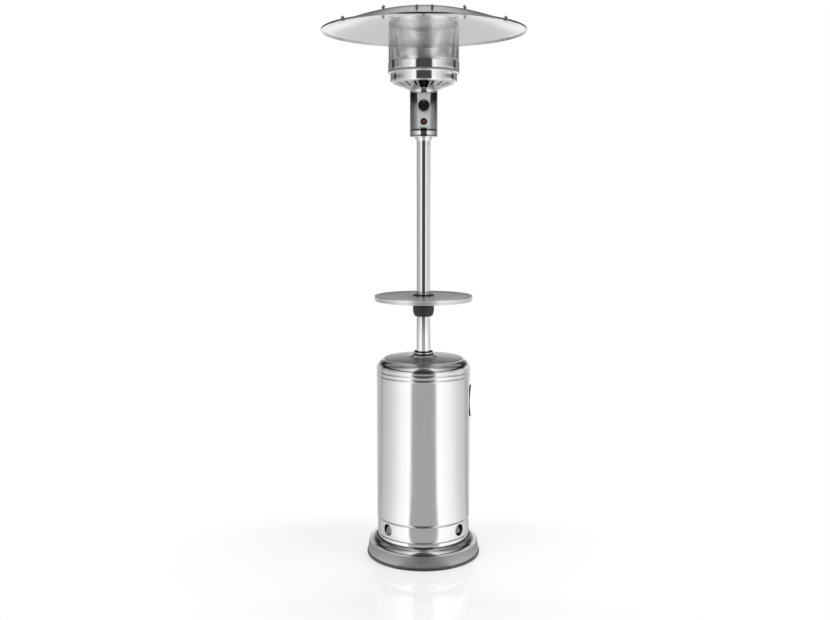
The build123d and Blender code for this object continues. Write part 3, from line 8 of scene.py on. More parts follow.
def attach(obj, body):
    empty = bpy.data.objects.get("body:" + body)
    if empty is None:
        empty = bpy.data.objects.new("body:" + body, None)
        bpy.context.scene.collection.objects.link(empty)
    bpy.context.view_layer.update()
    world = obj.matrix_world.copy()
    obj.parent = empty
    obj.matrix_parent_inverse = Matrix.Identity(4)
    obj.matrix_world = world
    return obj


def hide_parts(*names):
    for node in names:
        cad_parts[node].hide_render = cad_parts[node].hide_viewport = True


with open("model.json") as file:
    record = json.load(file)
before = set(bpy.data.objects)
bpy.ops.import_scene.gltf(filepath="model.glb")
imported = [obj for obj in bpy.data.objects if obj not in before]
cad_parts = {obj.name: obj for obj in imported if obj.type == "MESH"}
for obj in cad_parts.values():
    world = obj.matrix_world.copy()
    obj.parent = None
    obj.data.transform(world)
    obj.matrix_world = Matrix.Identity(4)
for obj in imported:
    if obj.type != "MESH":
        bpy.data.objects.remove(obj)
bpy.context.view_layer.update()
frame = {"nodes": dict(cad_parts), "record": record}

bl_info = {
    "name": "Outdoor gas heater",
    "version": (1, 0, 0),
    "blender": (4, 5, 0),
    "location": "View3D > Sidebar > Heater",
    "description": "Dresses the gas heater's frame with its steel sheets, controls and studio",
    "category": "Add Mesh",
}

# Profiles are written in millimetres, as radius and height, with the sheet on the left of the line.
# Azimuths are degrees, counted from the front towards the right.
MM = 0.001
UP = Vector((0, 0, 1))


# Sizes and colours

def colour_value(name, description, default):
    """A colour that the panel shows."""
    return bpy.props.FloatVectorProperty(
        name=name, description=description, subtype="COLOR", size=3, min=0, max=1, default=default)


def share_value(name, description, default):
    """A share between 0 and 1 that the panel shows."""
    return bpy.props.FloatProperty(
        name=name, description=description, subtype="FACTOR", min=0, max=1, default=default)


def length_value(name, description, default, lowest=0.0):
    """A length that the panel shows."""
    return bpy.props.FloatProperty(
        name=name, description=description, unit="LENGTH", min=lowest, default=default)


class HeaterSteel(bpy.types.PropertyGroup):
    """Colours and gloss of the metal"""
    brushed: colour_value("Brushed steel", "Colour of the housing's sheet", (0.72, 0.72, 0.715))
    foot: colour_value("Foot steel", "Colour of the pressed foot", (0.7, 0.7, 0.7))
    polished: colour_value("Polished steel", "Colour of the post and the burner's bands", (0.76, 0.76, 0.76))
    brushed_roughness: share_value("Brushed roughness", "How softly the housing mirrors the studio", 0.15)
    polished_roughness: share_value("Polished roughness", "How softly the post mirrors the studio", 0.08)


class HeaterPlastic(bpy.types.PropertyGroup):
    """Colours of the plastic and rubber parts"""
    black: colour_value("Black plastic", "Colour of the knob, nut and handle", (0.007, 0.007, 0.0075))
    red: colour_value("Red plastic", "Colour of the igniter's button", (0.3, 0.03, 0.032))


class HeaterScreen(bpy.types.PropertyGroup):
    """The perforated sheet round the flame"""
    radius: length_value("Radius", "Outer radius of the screen", 0.139, 0.05)
    low: length_value("Lowest hole", "Height at which the holes start", 2.0165)
    columns: bpy.props.IntProperty(
        name="Columns", description="Columns of holes round the screen", min=8, default=148)
    rows: bpy.props.IntProperty(name="Rows", description="Holes in a column", min=2, default=17)
    pitch: length_value("Pitch", "Height from hole to hole in a column", 0.0086, 0.002)
    hole: length_value("Hole radius", "Radius of a hole", 0.0026, 0.0005)
    sheet: length_value("Sheet", "Thickness of the sheet", 0.0008, 0.0002)


class HeaterStudio(bpy.types.PropertyGroup):
    """The camera, the floor and what the metal mirrors"""
    lens: bpy.props.FloatProperty(
        name="Lens", description="Focal length", unit="CAMERA", min=1, default=42.52)
    eye: bpy.props.FloatVectorProperty(
        name="Camera", description="Where the camera stands", subtype="TRANSLATION", unit="LENGTH",
        size=3, default=(-0.03485, -3.9908, 1.4926))
    tilt: bpy.props.FloatProperty(
        name="Tilt", description="How far the camera looks down", subtype="ANGLE", default=0.1175)
    wall: length_value("Wall radius", "Distance of the wall that the metal mirrors", 7.0, 2)
    soft: bpy.props.FloatProperty(
        name="Soft light", description="Level of the light from all round", min=0, default=0.62)
    lamp: bpy.props.FloatProperty(
        name="Lamp power", description="Power of each lamp", unit="POWER", min=0, default=70.0)


# Shader nodes and groups

def feed(tree, socket, value):
    """Links a socket from another one or gives it a plain value; a colour is three numbers."""
    if isinstance(value, bpy.types.NodeSocket):
        tree.links.new(value, socket)
    elif socket.type == "RGBA":
        socket.default_value = (*value, 1)
    else:
        socket.default_value = value


def node(tree, kind, inputs=(), **settings):
    """Adds a shader node with its settings and feeds its inputs; the nodes stand in a row."""
    made = tree.nodes.new(f"ShaderNode{kind}")
    made.location = (220 * len(tree.nodes), 0)
    for name, value in settings.items():
        setattr(made, name, value)
    for place, value in dict(inputs).items():
        feed(tree, made.inputs[place], value)
    return made


def maths(tree, operation, *values):
    """Works on sockets or numbers."""
    return node(tree, "Math", enumerate(values), operation=operation).outputs[0]


def object_point(tree):
    """The shaded point in the heater's coordinates."""
    return node(tree, "TexCoord").outputs["Object"]


def coordinates(tree):
    """The x, y and z of the shaded point."""
    return node(tree, "SeparateXYZ", {0: object_point(tree)}).outputs


def noise(tree, vector, scale, detail, distortion=0.0):
    """A noise texture on a vector."""
    inputs = {"Vector": vector, "Scale": scale, "Detail": detail, "Distortion": distortion}
    return node(tree, "TexNoise", inputs).outputs["Fac"]


def remap(tree, value, first, last, low=0.0, high=1.0, way="LINEAR"):
    """A change from low to high while a value goes from first to last."""
    inputs = {"Value": value, "From Min": first, "From Max": last, "To Min": low, "To Max": high}
    return node(tree, "MapRange", inputs, interpolation_type=way).outputs["Result"]


def soft_step(tree, value, first, last, low=0.0, high=1.0):
    """The same change, eased at both ends."""
    return remap(tree, value, first, last, low, high, "SMOOTHSTEP")


def spread(tree, mask, low, high):
    """Turns a mask into a number between two values."""
    return remap(tree, mask, 0.0, 1.0, low, high)


def mix(tree, mask, first, second, blend="MIX"):
    """Mixes two colours by a mask."""
    inputs = {"Factor": mask, "A": first, "B": second}
    return node(tree, "Mix", inputs, data_type="RGBA", blend_type=blend).outputs["Result"]


def new_group(name, inputs, outputs):
    """Makes a shader group with number sockets, and gives its tree, its inputs and its outputs."""
    tree = bpy.data.node_groups.new(name, "ShaderNodeTree")
    for label, value in inputs.items():
        socket = tree.interface.new_socket(name=label, in_out="INPUT", socket_type="NodeSocketFloat")
        socket.default_value = value
    for label in outputs:
        tree.interface.new_socket(name=label, in_out="OUTPUT", socket_type="NodeSocketFloat")
    start, end = tree.nodes.new("NodeGroupInput"), tree.nodes.new("NodeGroupOutput")
    end.location = (220, 300)
    return tree, start.outputs, end.inputs


def grain_lines(tree, end, places):
    """Puts out the lines of a stretched noise."""
    joined = node(tree, "CombineXYZ", enumerate(places))
    feed(tree, end["Lines"], noise(tree, joined.outputs[0], 1.0, 3.0))


def make_turned_grain():
    """Fine lines that run round the upright axis, as a lathe or a brush leaves them."""
    tree, start, end = new_group("turned_grain", {"Fineness": 900.0}, ["Lines"])
    x, y, z = coordinates(tree)
    out = maths(tree, "SQRT", maths(tree, "ADD", maths(tree, "MULTIPLY", x, x), maths(tree, "MULTIPLY", y, y)))
    across, along = (maths(tree, "MULTIPLY", way, start["Fineness"]) for way in (out, z))
    slow_x, slow_y = (maths(tree, "MULTIPLY", way, 9.0) for way in (x, y))
    grain_lines(tree, end, (maths(tree, "ADD", across, slow_x), maths(tree, "ADD", along, slow_y),
                            maths(tree, "SUBTRACT", slow_x, slow_y)))


def make_straight_grain():
    """Fine lines that run one way: each input says how fast they change along that axis."""
    speeds = {"Along x": 4.0, "Along y": 4.0, "Along z": 900.0}
    tree, start, end = new_group("straight_grain", speeds, ["Lines"])
    ways = zip(coordinates(tree), speeds)
    grain_lines(tree, end, [maths(tree, "MULTIPLY", way, start[label]) for way, label in ways])


def make_handling_marks():
    """Broad soft smudges and small specks of dust."""
    tree, start, end = new_group("handling_marks", {"Size": 6.0, "Specks": 160.0}, ["Smudge", "Dust"])
    here = object_point(tree)
    smudge = noise(tree, here, start["Size"], 4.0, 0.6)
    specks = noise(tree, here, start["Specks"], 1.0)
    feed(tree, end["Smudge"], soft_step(tree, smudge, 0.4, 0.7))
    feed(tree, end["Dust"], remap(tree, specks, 0.66, 0.74))


# What the metal mirrors: azimuth and level of light
WALL_STOPS = (
    (-180, 0.22), (-140, 0.27), (-124, 0.27), (-121, 0.02), (-111, 0.02), (-108, 0.285), (-90, 0.29),
    (-76, 0.5), (-60, 0.82), (-46, 0.95), (-38, 1.2), (-28, 1.2), (-24, 0.075), (25, 0.075), (28, 1.2),
    (38, 1.15), (45, 0.98), (57, 0.88), (64, 0.7), (72, 0.61), (80, 0.42), (90, 0.31), (108, 0.28),
    (111, 0.02), (121, 0.02), (124, 0.32), (180, 0.25),
)
FLOOR_STOPS = (
    (-180, 0.8), (-150, 0.69), (-122, 0.5), (-109, 0.7), (-97, 0.75), (-87, 0.845), (-77, 0.93), (-68, 1.06),
    (-60, 1.19), (-51, 1.3), (-43, 1.34), (-35, 1.45), (-31, 1.45), (-28, 0.5), (28, 0.5), (31, 1.45),
    (46, 1.36), (54, 1.31), (62, 1.25), (71, 1.17), (80, 1.04), (90, 0.92), (100, 0.83), (113, 0.78),
    (127, 0.5), (148, 0.84), (180, 0.8),
)


def make_studio_bands(name, stops):
    """Light and dark bands of the studio, by the direction from the heater, with the height."""
    tree, _, end = new_group(name, {}, ["Level", "Turn", "Height"])
    x, y, z = coordinates(tree)
    turn = maths(tree, "ARCTAN2", x, maths(tree, "MULTIPLY", y, -1.0))
    bands = node(tree, "ValToRGB", {"Fac": maths(tree, "MULTIPLY_ADD", turn, 1 / math.tau, 0.5)})
    elements = bands.color_ramp.elements
    for azimuth, level in stops:
        if abs(azimuth) < 180:
            stop = elements.new(azimuth / 360 + 0.5)
        else:
            stop = elements[0 if azimuth < 0 else -1]
        stop.color = (level, level, level, 1)
    for label, value in (("Level", bands.outputs["Color"]), ("Turn", turn), ("Height", z)):
        feed(tree, end[label], value)


# Finishes

def new_finish(name):
    """Makes a material with a Principled shader, and gives its tree."""
    material = bpy.data.materials.new(f"{name}_finish")
    material.use_nodes = True
    return material.node_tree


def finish_of(name):
    """A finish by its name; the frame's own materials have the plain names."""
    return bpy.data.materials[f"{name}_finish"]


def spaced(values):
    """The same values under the names of sockets, with spaces."""
    return {label.replace("_", " "): value for label, value in values.items()}


def put_group(tree, name, **values):
    """Places a shader group with its own values, and gives its outputs."""
    return node(tree, "Group", spaced(values), node_tree=bpy.data.node_groups[name]).outputs


def set_shader(tree, **values):
    """Feeds the inputs of a finish's Principled shader."""
    for label, value in spaced(values).items():
        feed(tree, tree.nodes["Principled BSDF"].inputs[label], value)


def bump(tree, height, strength, distance):
    """The normal that a height gives."""
    inputs = {"Strength": strength, "Distance": distance, "Height": height}
    return node(tree, "Bump", inputs).outputs["Normal"]


def shade(colour, factor):
    """A colour made darker or lighter."""
    return tuple(min(1.0, part * factor) for part in colour)


def cover(name, mask_in, colour, roughness, blend="MIX"):
    """Lays a duller colour over a finish, where the mask made in its tree is white."""
    tree = finish_of(name).node_tree
    inputs = tree.nodes["Principled BSDF"].inputs
    under, rough = (inputs[label].links[0].from_socket for label in ("Base Color", "Roughness"))
    mask = mask_in(tree)
    set_shader(tree, Base_Color=mix(tree, mask, under, colour, blend),
               Roughness=maths(tree, "MULTIPLY_ADD", mask, roughness, rough))


def inner_mask(tree):
    """A mask of the faces that look towards the heater's axis."""
    place = node(tree, "TexCoord").outputs
    level = node(tree, "VectorMath", {0: place["Object"], 1: (1, 1, 0)}, operation="MULTIPLY")
    inputs = {0: level.outputs["Vector"], 1: place["Normal"]}
    out = node(tree, "VectorMath", inputs, operation="DOT_PRODUCT").outputs["Value"]
    return maths(tree, "LESS_THAN", out, -0.002)


def paint_shade_inside(name, shade_colour):
    """Paints shade on the inner side of a finish: a dark colour on the faces that look towards the heater's
    axis.
    """
    cover(name, inner_mask, shade_colour, 0.5)


def darker_below(name, low, high, factor, roughness):
    """Makes a finish darker and duller under a height."""
    def under(tree):
        return soft_step(tree, coordinates(tree)[2], low, high, 1.0, 0.0)

    cover(name, under, (factor, factor, factor), roughness, "MULTIPLY")


def dent(name, scale, depth):
    """Adds the slow waves of thin sheet under a finish's fine bump."""
    tree = finish_of(name).node_tree
    fine = next(item for item in tree.nodes if item.bl_idname == "ShaderNodeBump")
    feed(tree, fine.inputs["Normal"], bump(tree, noise(tree, object_point(tree), scale, 1.0), 1.0, depth))


def steel(name, colour, roughness, grain="turned_grain", depth=0.25, tone=0.10, metal=1.0, **grain_values):
    """Metal with brushing lines, smudges and a little dust."""
    tree = new_finish(name)
    lines = put_group(tree, grain, **grain_values)["Lines"]
    marks = put_group(tree, "handling_marks")
    lined = mix(tree, lines, shade(colour, 1 - tone), shade(colour, 1 + tone))
    dusty = mix(tree, spread(tree, marks["Dust"], 0.0, 0.5), lined, (0.9, 0.895, 0.88), "MULTIPLY")
    rough = maths(tree, "ADD", spread(tree, lines, roughness * 0.8, roughness * 1.2),
                  spread(tree, marks["Smudge"], 0.0, 0.04))
    set_shader(tree, Metallic=metal, Base_Color=dusty, Roughness=rough,
               Normal=bump(tree, lines, depth, 0.00004))


def plastic(name, colour, roughness, grain_scale, coat=0.0, specular=0.5):
    """Moulded plastic or rubber: a fine grain, smudges and a duller bloom."""
    tree = new_finish(name)
    grain = noise(tree, object_point(tree), grain_scale, 3.0)
    smudge = put_group(tree, "handling_marks", Size=30.0, Specks=600.0)["Smudge"]
    lighter = tuple(part * 1.2 + 0.002 for part in colour)
    set_shader(tree, Base_Color=mix(tree, smudge, colour, lighter), Coat_Weight=coat,
               Roughness=spread(tree, grain, roughness * 0.85, roughness * 1.15),
               Specular_IOR_Level=specular, Normal=bump(tree, grain, 0.3, 0.0001))


def hot_metal(name, colour, tint, roughness):
    """Steel near the flame, with straw-coloured heat tints."""
    tree = new_finish(name)
    smudge = put_group(tree, "handling_marks", Size=14.0, Specks=300.0)["Smudge"]
    lines = put_group(tree, "turned_grain", Fineness=500.0)["Lines"]
    set_shader(tree, Metallic=1.0, Base_Color=mix(tree, smudge, colour, tint),
               Roughness=spread(tree, lines, roughness * 0.8, roughness * 1.3),
               Normal=bump(tree, lines, 0.2, 0.00005))


def zinc(name):
    """Galvanised steel with its large flat crystals."""
    tree = new_finish(name)
    crystals = node(tree, "TexVoronoi", {"Vector": object_point(tree), "Scale": 90.0}).outputs
    flat = node(tree, "SeparateColor", {0: crystals["Color"]}).outputs[0]
    set_shader(tree, Metallic=0.9, Base_Color=mix(tree, flat, (0.36, 0.37, 0.38), (0.52, 0.53, 0.54)),
               Roughness=spread(tree, flat, 0.32, 0.5), Normal=bump(tree, crystals["Distance"], 0.1, 0.0002))


def make_finishes():
    """Builds every finish of the heater."""
    metal, soft = bpy.context.scene.heater_steel, bpy.context.scene.heater_plastic
    brushed, polished, black = tuple(metal.brushed), tuple(metal.polished), tuple(soft.black)
    gloss = metal.polished_roughness
    steel("housing_steel", brushed, metal.brushed_roughness, depth=0.1, tone=0.05, Fineness=1400.0)
    steel("lid_steel", shade(brushed, 0.95), 0.28, tone=0.07, Fineness=1100.0)
    steel("foot_steel", tuple(metal.foot), 0.16, depth=0.1, tone=0.06, Fineness=1000.0)
    darker_below("foot_steel", 0.052, 0.06, 0.56, 0.36)
    # Painted shade: a near-black inner side of the foot pan, so that its bracket holes look dark.
    paint_shade_inside("foot_steel", (0.03, 0.03, 0.03))
    steel("table_steel", brushed, 0.34, "straight_grain", tone=0.08, Along_x=6.0, Along_y=1300.0,
          Along_z=1300.0)
    steel("post_steel", polished, gloss, depth=0.08, tone=0.03, Fineness=700.0)
    steel("mirror_steel", polished, gloss, depth=0.05, tone=0.03, Fineness=500.0)
    steel("casing_steel", shade(polished, 0.52), 0.16, depth=0.12, tone=0.04, Fineness=1200.0)
    steel("reflector_steel", shade(polished, 0.92), 0.2, depth=0.12, tone=0.05, Fineness=420.0)
    steel("bowl_steel", polished, gloss, depth=0.05, tone=0.03, Fineness=500.0)
    darker_below("bowl_steel", 1.926, 1.934, 0.6, 0.08)
    # Painted shade: a near-black inner side of the bowl, so that its slots and front opening look dark.
    paint_shade_inside("bowl_steel", (0.02, 0.018, 0.017))
    steel("bead_steel", (0.4, 0.4, 0.39), 0.5, depth=0.2, tone=0.1, Fineness=900.0)
    steel("panel_plate", (0.66, 0.66, 0.665), 0.5, "straight_grain", tone=0.04, metal=0.25, Along_x=8.0,
          Along_z=1500.0)
    steel("screen_steel", (0.95, 0.95, 0.95), 0.26, depth=0.1, tone=0.05, Fineness=300.0)
    # Painted shade: a near-black inner side of the screen, so that its holes look dark.
    paint_shade_inside("screen_steel", (0.02, 0.019, 0.018))
    dent("screen_steel", 14.0, 0.006)
    steel("nut_zinc", (0.3, 0.3, 0.31), 0.3, depth=0.1, tone=0.1, Fineness=900.0)
    steel("bright_zinc", (0.7, 0.71, 0.72), 0.22, depth=0.1, tone=0.08, Fineness=1500.0)
    steel("brass", (0.72, 0.52, 0.22), 0.25, depth=0.15, tone=0.1, Fineness=900.0)
    steel("drawn_aluminium", (0.75, 0.75, 0.76), 0.3, "straight_grain", tone=0.08, Along_x=900.0,
          Along_y=900.0)
    hot_metal("burner_steel", (0.42, 0.41, 0.4), (0.34, 0.26, 0.17), 0.36)
    steel("bracket_steel", (0.75, 0.74, 0.72), 0.4, depth=0.1, tone=0.06, metal=0.5, Fineness=700.0)
    zinc("inner_steel")
    plastic("black_plastic", black, 0.42, 1400.0, specular=0.2)
    plastic("black_rubber", shade(black, 0.9), 0.62, 900.0, specular=0.25)
    plastic("edge_rubber", (0.05, 0.05, 0.051), 0.3, 900.0, specular=0.7)
    plastic("nut_plastic", black, 0.3, 1400.0, specular=0.55)
    plastic("pointer_paint", (0.3, 0.3, 0.29), 0.4, 700.0, specular=0.3)
    plastic("red_plastic", tuple(soft.red), 0.3, 500.0, coat=0.3)
    plastic("white_ceramic", (0.8, 0.78, 0.72), 0.25, 700.0, coat=0.4)


def make_groups():
    """Makes the shader groups that the finishes and the studio use."""
    make_turned_grain()
    make_straight_grain()
    make_handling_marks()
    make_studio_bands("wall_levels", WALL_STOPS)
    make_studio_bands("floor_levels", FLOOR_STOPS)


SLOT_FINISHES = {
    "brushed_steel": "housing_steel", "polished_steel": "mirror_steel", "aluminium_pipe": "drawn_aluminium",
    "panel_steel": "panel_plate",
}
NODE_FINISHES = {
    "main_post": "post_steel", "burner_bridge": "burner_steel", "mixing_tube": "burner_steel",
    "burner_head": "burner_steel", "pilot_bracket": "bracket_steel", "reflector_arms": "bright_zinc",
    "reflector_studs": "nut_zinc", "seam_bolts": "nut_zinc", "leg_bolts": "bright_zinc",
    "hinge_pins": "bright_zinc", "valve_stem": "bright_zinc", "centre_disc": "reflector_steel",
    "thermocouple": "brass",
}


def dress_frame():
    """Gives every part of the frame the finish of its node or of its slot, which often has its name."""
    slots = {part["node"]: part["material_slot"] for part in frame["record"]["subparts"]}
    for name, piece in frame["nodes"].items():
        finish = NODE_FINISHES.get(name, SLOT_FINISHES.get(slots[name], slots[name]))
        piece.data.materials.clear()
        piece.data.materials.append(finish_of(finish))


# Modelling

def set_mode(mode):
    """Switches the active piece to object or edit mode."""
    bpy.ops.object.mode_set(mode=mode)


def begin():
    """Goes to object mode with nothing selected."""
    if bpy.context.object and bpy.context.object.mode != "OBJECT":
        set_mode("OBJECT")
    bpy.ops.object.select_all(action="DESELECT")


def pick(piece):
    """Makes a piece the only selected one."""
    begin()
    piece.select_set(True)
    bpy.context.view_layer.objects.active = piece


def edit_all(piece):
    """Goes to edit mode with the whole piece selected."""
    pick(piece)
    set_mode("EDIT")
    bpy.ops.mesh.select_mode(type="VERT")
    bpy.ops.mesh.select_all(action="SELECT")


def edit_some(piece, kind, wanted):
    """Goes to edit mode with those vertices, edges or faces selected that the test picks."""
    pick(piece)
    set_mode("EDIT")
    bpy.ops.mesh.select_mode(type=kind)
    bpy.ops.mesh.select_all(action="DESELECT")
    set_mode("OBJECT")
    mesh = piece.data
    for part in {"VERT": mesh.vertices, "EDGE": mesh.edges, "FACE": mesh.polygons}[kind]:
        part.select = wanted(part)
    set_mode("EDIT")


def bake_place(piece):
    """Puts a piece's place into its mesh, so that its origin is the heater's."""
    pick(piece)
    bpy.ops.object.transform_apply(location=True, rotation=True, scale=True)


def join(piece, others):
    """Joins other pieces into one."""
    pick(piece)
    for other in others:
        other.select_set(True)
    bpy.ops.object.join()
    return piece


def facing(azimuth):
    """The level direction at an azimuth, counted from the front towards the right."""
    turn = math.radians(azimuth)
    return Vector((math.sin(turn), -math.cos(turn), 0))


def azimuth_of(point):
    """The azimuth at which a point stands."""
    return math.degrees(math.atan2(point.x, -point.y))


def off_beat(angle, beat):
    """How far an angle is from the nearest whole number of beats."""
    return abs((angle + beat / 2) % beat - beat / 2)


def draw_line(name, corners, closed):
    """Draws a line: one point, extruded from corner to corner."""
    begin()
    bpy.ops.mesh.primitive_plane_add(size=0.01, location=(0, 0, 0))
    piece = bpy.context.object
    piece.name = piece.data.name = name
    set_mode("EDIT")
    bpy.ops.mesh.select_mode(type="VERT")
    bpy.ops.mesh.merge(type="CENTER")
    bpy.ops.transform.translate(value=corners[0])
    for last, corner in zip(corners, corners[1:]):
        bpy.ops.mesh.extrude_vertices_move(TRANSFORM_OT_translate={"value": corner - last})
    if closed:
        set_mode("OBJECT")
        piece.data.vertices[0].select = True
        set_mode("EDIT")
        bpy.ops.mesh.edge_face_add()
    return piece


def lathe(name, line, steps, start=0.0, angle=360.0, closed=True, centre=Vector(), axis=UP, side=None):
    """Turns a line of (radius, height) round an axis, and leaves a clean shell in object mode."""
    side = side or facing(start + angle)
    corners = [centre + (side * radius + axis * height) * MM for radius, height in line]
    piece = draw_line(name, corners, closed)
    bpy.ops.mesh.select_all(action="SELECT")
    bpy.ops.mesh.spin(steps=steps, angle=math.radians(angle), center=centre, axis=axis)
    bpy.ops.mesh.select_all(action="SELECT")
    bpy.ops.mesh.remove_doubles(threshold=0.000005)
    set_mode("OBJECT")
    return piece


def close_shell(piece):
    """Points the faces of a closed shell outwards."""
    edit_all(piece)
    bpy.ops.mesh.remove_doubles(threshold=0.000005)
    bpy.ops.mesh.dissolve_degenerate(threshold=0.000001)
    bpy.ops.mesh.normals_make_consistent(inside=False)
    set_mode("OBJECT")


def apply_modifier(piece, kind, **values):
    """Adds a modifier with its values and applies it."""
    pick(piece)
    modifier = piece.modifiers.new(kind.lower(), kind)
    for name, value in values.items():
        setattr(modifier, name, value)
    bpy.ops.object.modifier_apply(modifier=modifier.name)


def smooth(piece, angle=32.0):
    """Shades a piece smooth, apart from its sharp edges."""
    pick(piece)
    bpy.ops.object.shade_smooth_by_angle(angle=math.radians(angle))


def soften(piece, width, segments=2, angle=35.0):
    """Rounds the sharp edges."""
    apply_modifier(piece, "BEVEL", width=width * MM, segments=segments, limit_method="ANGLE",
                   angle_limit=math.radians(angle), harden_normals=False)


def solid(name, line, steps, **place):
    """A turned solid from a closed line."""
    piece = lathe(name, line, steps, **place)
    close_shell(piece)
    smooth(piece)
    return piece


def plug(name, line, steps, **place):
    """A turned solid whose line starts and ends on the axis."""
    piece = lathe(name, line, steps, closed=False, **place)
    close_shell(piece)
    smooth(piece)
    return piece


def drop_faces(piece, unwanted):
    """Deletes the faces whose middle the test picks."""
    def test(face):
        middle = face.center
        return unwanted(azimuth_of(middle), math.hypot(middle.x, middle.y) / MM, middle.z / MM)

    edit_some(piece, "FACE", test)
    bpy.ops.mesh.delete(type="FACE")
    set_mode("OBJECT")


def thicken(piece, thickness):
    """Gives a turned sheet its thickness, on the left of the line it was turned from."""
    apply_modifier(piece, "SOLIDIFY", thickness=thickness * MM, offset=-1.0, use_even_offset=True,
                   use_rim=True, use_flip_normals=False)
    smooth(piece)


def sheet(name, line, thickness, steps, **place):
    """A turned sheet."""
    piece = lathe(name, line, steps, closed=False, **place)
    thicken(piece, thickness)
    return piece


def cut(piece, others, operation="DIFFERENCE"):
    """Cuts solids out of a piece, or adds them to it, and removes them."""
    for other in others:
        apply_modifier(piece, "BOOLEAN", operation=operation, solver="EXACT", object=other)
        bpy.data.objects.remove(other)


def squeeze(piece, wanted, scale, centre=(0, 0, 0)):
    """Scales the vertices that the test picks towards a centre."""
    edit_some(piece, "VERT", wanted)
    bpy.ops.transform.resize(value=scale, center_override=centre)
    set_mode("OBJECT")


def block(name, size, place):
    """A box in its place."""
    begin()
    bpy.ops.mesh.primitive_cube_add(size=1)
    piece = bpy.context.object
    piece.name = piece.data.name = name
    piece.matrix_world = place @ Matrix.Diagonal((*(length * MM for length in size), 1))
    bake_place(piece)
    return piece


def rod(radius, inner, outer, height, steps, azimuth=0, aside=0):
    """A level rod from an inner to an outer distance, for cutting a round hole."""
    return plug("rod", [(0, inner), (radius, inner), (radius, outer), (0, outer)], steps,
                centre=Vector((aside, 0, height)) * MM, axis=facing(azimuth), side=UP)


def arc(first, middle, last, steps=10):
    """Points of the arc through three points, without its first."""
    (ax, ay), (bx, by), (cx, cy) = first, middle, last
    d = 2 * (ax * (by - cy) + bx * (cy - ay) + cx * (ay - by))
    a2, b2, c2 = ax * ax + ay * ay, bx * bx + by * by, cx * cx + cy * cy
    ox = (a2 * (by - cy) + b2 * (cy - ay) + c2 * (ay - by)) / d
    oy = (a2 * (cx - bx) + b2 * (ax - cx) + c2 * (bx - ax)) / d
    radius = math.hypot(ax - ox, ay - oy)
    begin_turn = math.atan2(ay - oy, ax - ox)
    swing = math.atan2(cy - oy, cx - ox) - begin_turn
    while swing > math.pi:
        swing -= math.tau
    while swing < -math.pi:
        swing += math.tau
    turns = [begin_turn + swing * step / steps for step in range(1, steps + 1)]
    return [(ox + radius * math.cos(turn), oy + radius * math.sin(turn)) for turn in turns]


def corner(first, corner_point, last, steps=4):
    """A rounded corner from first to last, bulging towards the corner point."""
    middle = tuple((a + b) / 2 * 0.3 + c * 0.7 for a, b, c in zip(first, last, corner_point))
    return [first, *arc(first, middle, last, steps)]


def bead(radius, rise, height, width, steps=8):
    """A ring pressed outwards: a half wave in the wall's line."""
    points = []
    for step in range(steps + 1):
        share = step / steps
        points.append((radius + rise * math.sin(math.pi * share) ** 2, height - width / 2 + width * share))
    return points


def dress(piece, body, finish, slot, *nodes):
    """Gives a piece its finish and its body, and hides the frame's nodes that it stands for."""
    piece.data.materials.clear()
    piece.data.materials.append(finish_of(finish))
    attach(piece, body)
    if nodes:
        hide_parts(*nodes)
    return piece


def place_copies(pattern, name, places):
    """Copies a pattern to each place and joins the copies into one piece."""
    made = []
    for place in places:
        pick(pattern)
        bpy.ops.object.duplicate()
        made.append(bpy.context.object)
        made[-1].matrix_world = place
        bake_place(made[-1])
    piece = join(made[0], made[1:])
    bpy.data.objects.remove(pattern)
    piece.name = piece.data.name = name
    return piece


def at(x, y, z):
    """A place in millimetres that isn't turned."""
    return Matrix.Translation(Vector((x, y, z)) * MM)


def frame_at(centre, axis, side=None):
    """A place whose own Z runs along the axis."""
    axis = axis.normalized()
    side = (side or axis.orthogonal()).normalized()
    across = axis.cross(side).normalized()
    side = across.cross(axis)
    turn = Matrix((side, across, axis)).transposed().to_4x4()
    return Matrix.Translation(centre) @ turn


# Foot and housing

RING_R = 190.5
HOUSING_R = 192.5
DOOR_START, DOOR_END = 67.6, 197.6
DOOR_TOP = 785
HANDLE_TURN = 87.5
HANDLE_HEIGHT = 646
HANDLE_W, HANDLE_L, HANDLE_WALL = 60, 132, 7
HANDLE_DIP = 4.7


def pressed_foot():
    """The foot's skirt, shoulder and top, with two bracket holes."""
    line = [(230.6, 3.1), (230.6, 21.5), (230.5, 24.5), (225.5, 56)]
    line += arc((225.5, 56), (213.5, 72.5), (193, 79), 14)
    line += [(190.2, 78.4), (188.8, 79), (188.4, 81), (188.4, 86.5), (187, 88), (100, 88), (0, 88)]
    foot = sheet("foot_pan", line, 1.5, 180)
    cut(foot, [rod(3, 215, 240, 35, 20, aside=side) for side in (-13, 13)])
    smooth(foot)
    dress(foot, "stand", "foot_steel", "foot_steel", "base_pan")
    rim = [(226.6, 0), (234.0, 0), (234.7, 0.3), (235, 1), (235, 4.5), (234.3, 5), (235, 5.5), (235, 9.2),
           (234.2, 10), (230.7, 10), (230.7, 3), (229, 3), (229, 10), (226.6, 10)]
    dress(solid("foot_edge", rim, 180), "stand", "edge_rubber", "black_rubber", "base_edge_ring")


def vented_ring():
    """The ring under the housing with four round vents."""
    line = [(RING_R, 78.6), (RING_R, 88)]
    line += bead(RING_R, 1.4, 97, 5) + bead(RING_R, 2.0, 163.5, 6.5)
    line += [(RING_R, 169.5), (190.1, 170.6), (189, 171), (180.5, 171)]
    ring = sheet("vented_ring", line, 1.0, 180)
    cut(ring, [rod(24.5, 160, 210, 132, 48, azimuth) for azimuth in (50, 130, 230, 310)])
    smooth(ring)
    dress(ring, "stand", "housing_steel", "brushed_steel", "vent_ring")


def wall_line(low, top):
    """The housing's wall with its two pressed rings."""
    line = [(HOUSING_R, height) for height in (low, 300, 430, 560, 690)]
    return line + bead(HOUSING_R, 1.4, 756, 5) + bead(HOUSING_R, 1.4, 773, 5) + [(HOUSING_R, top)]


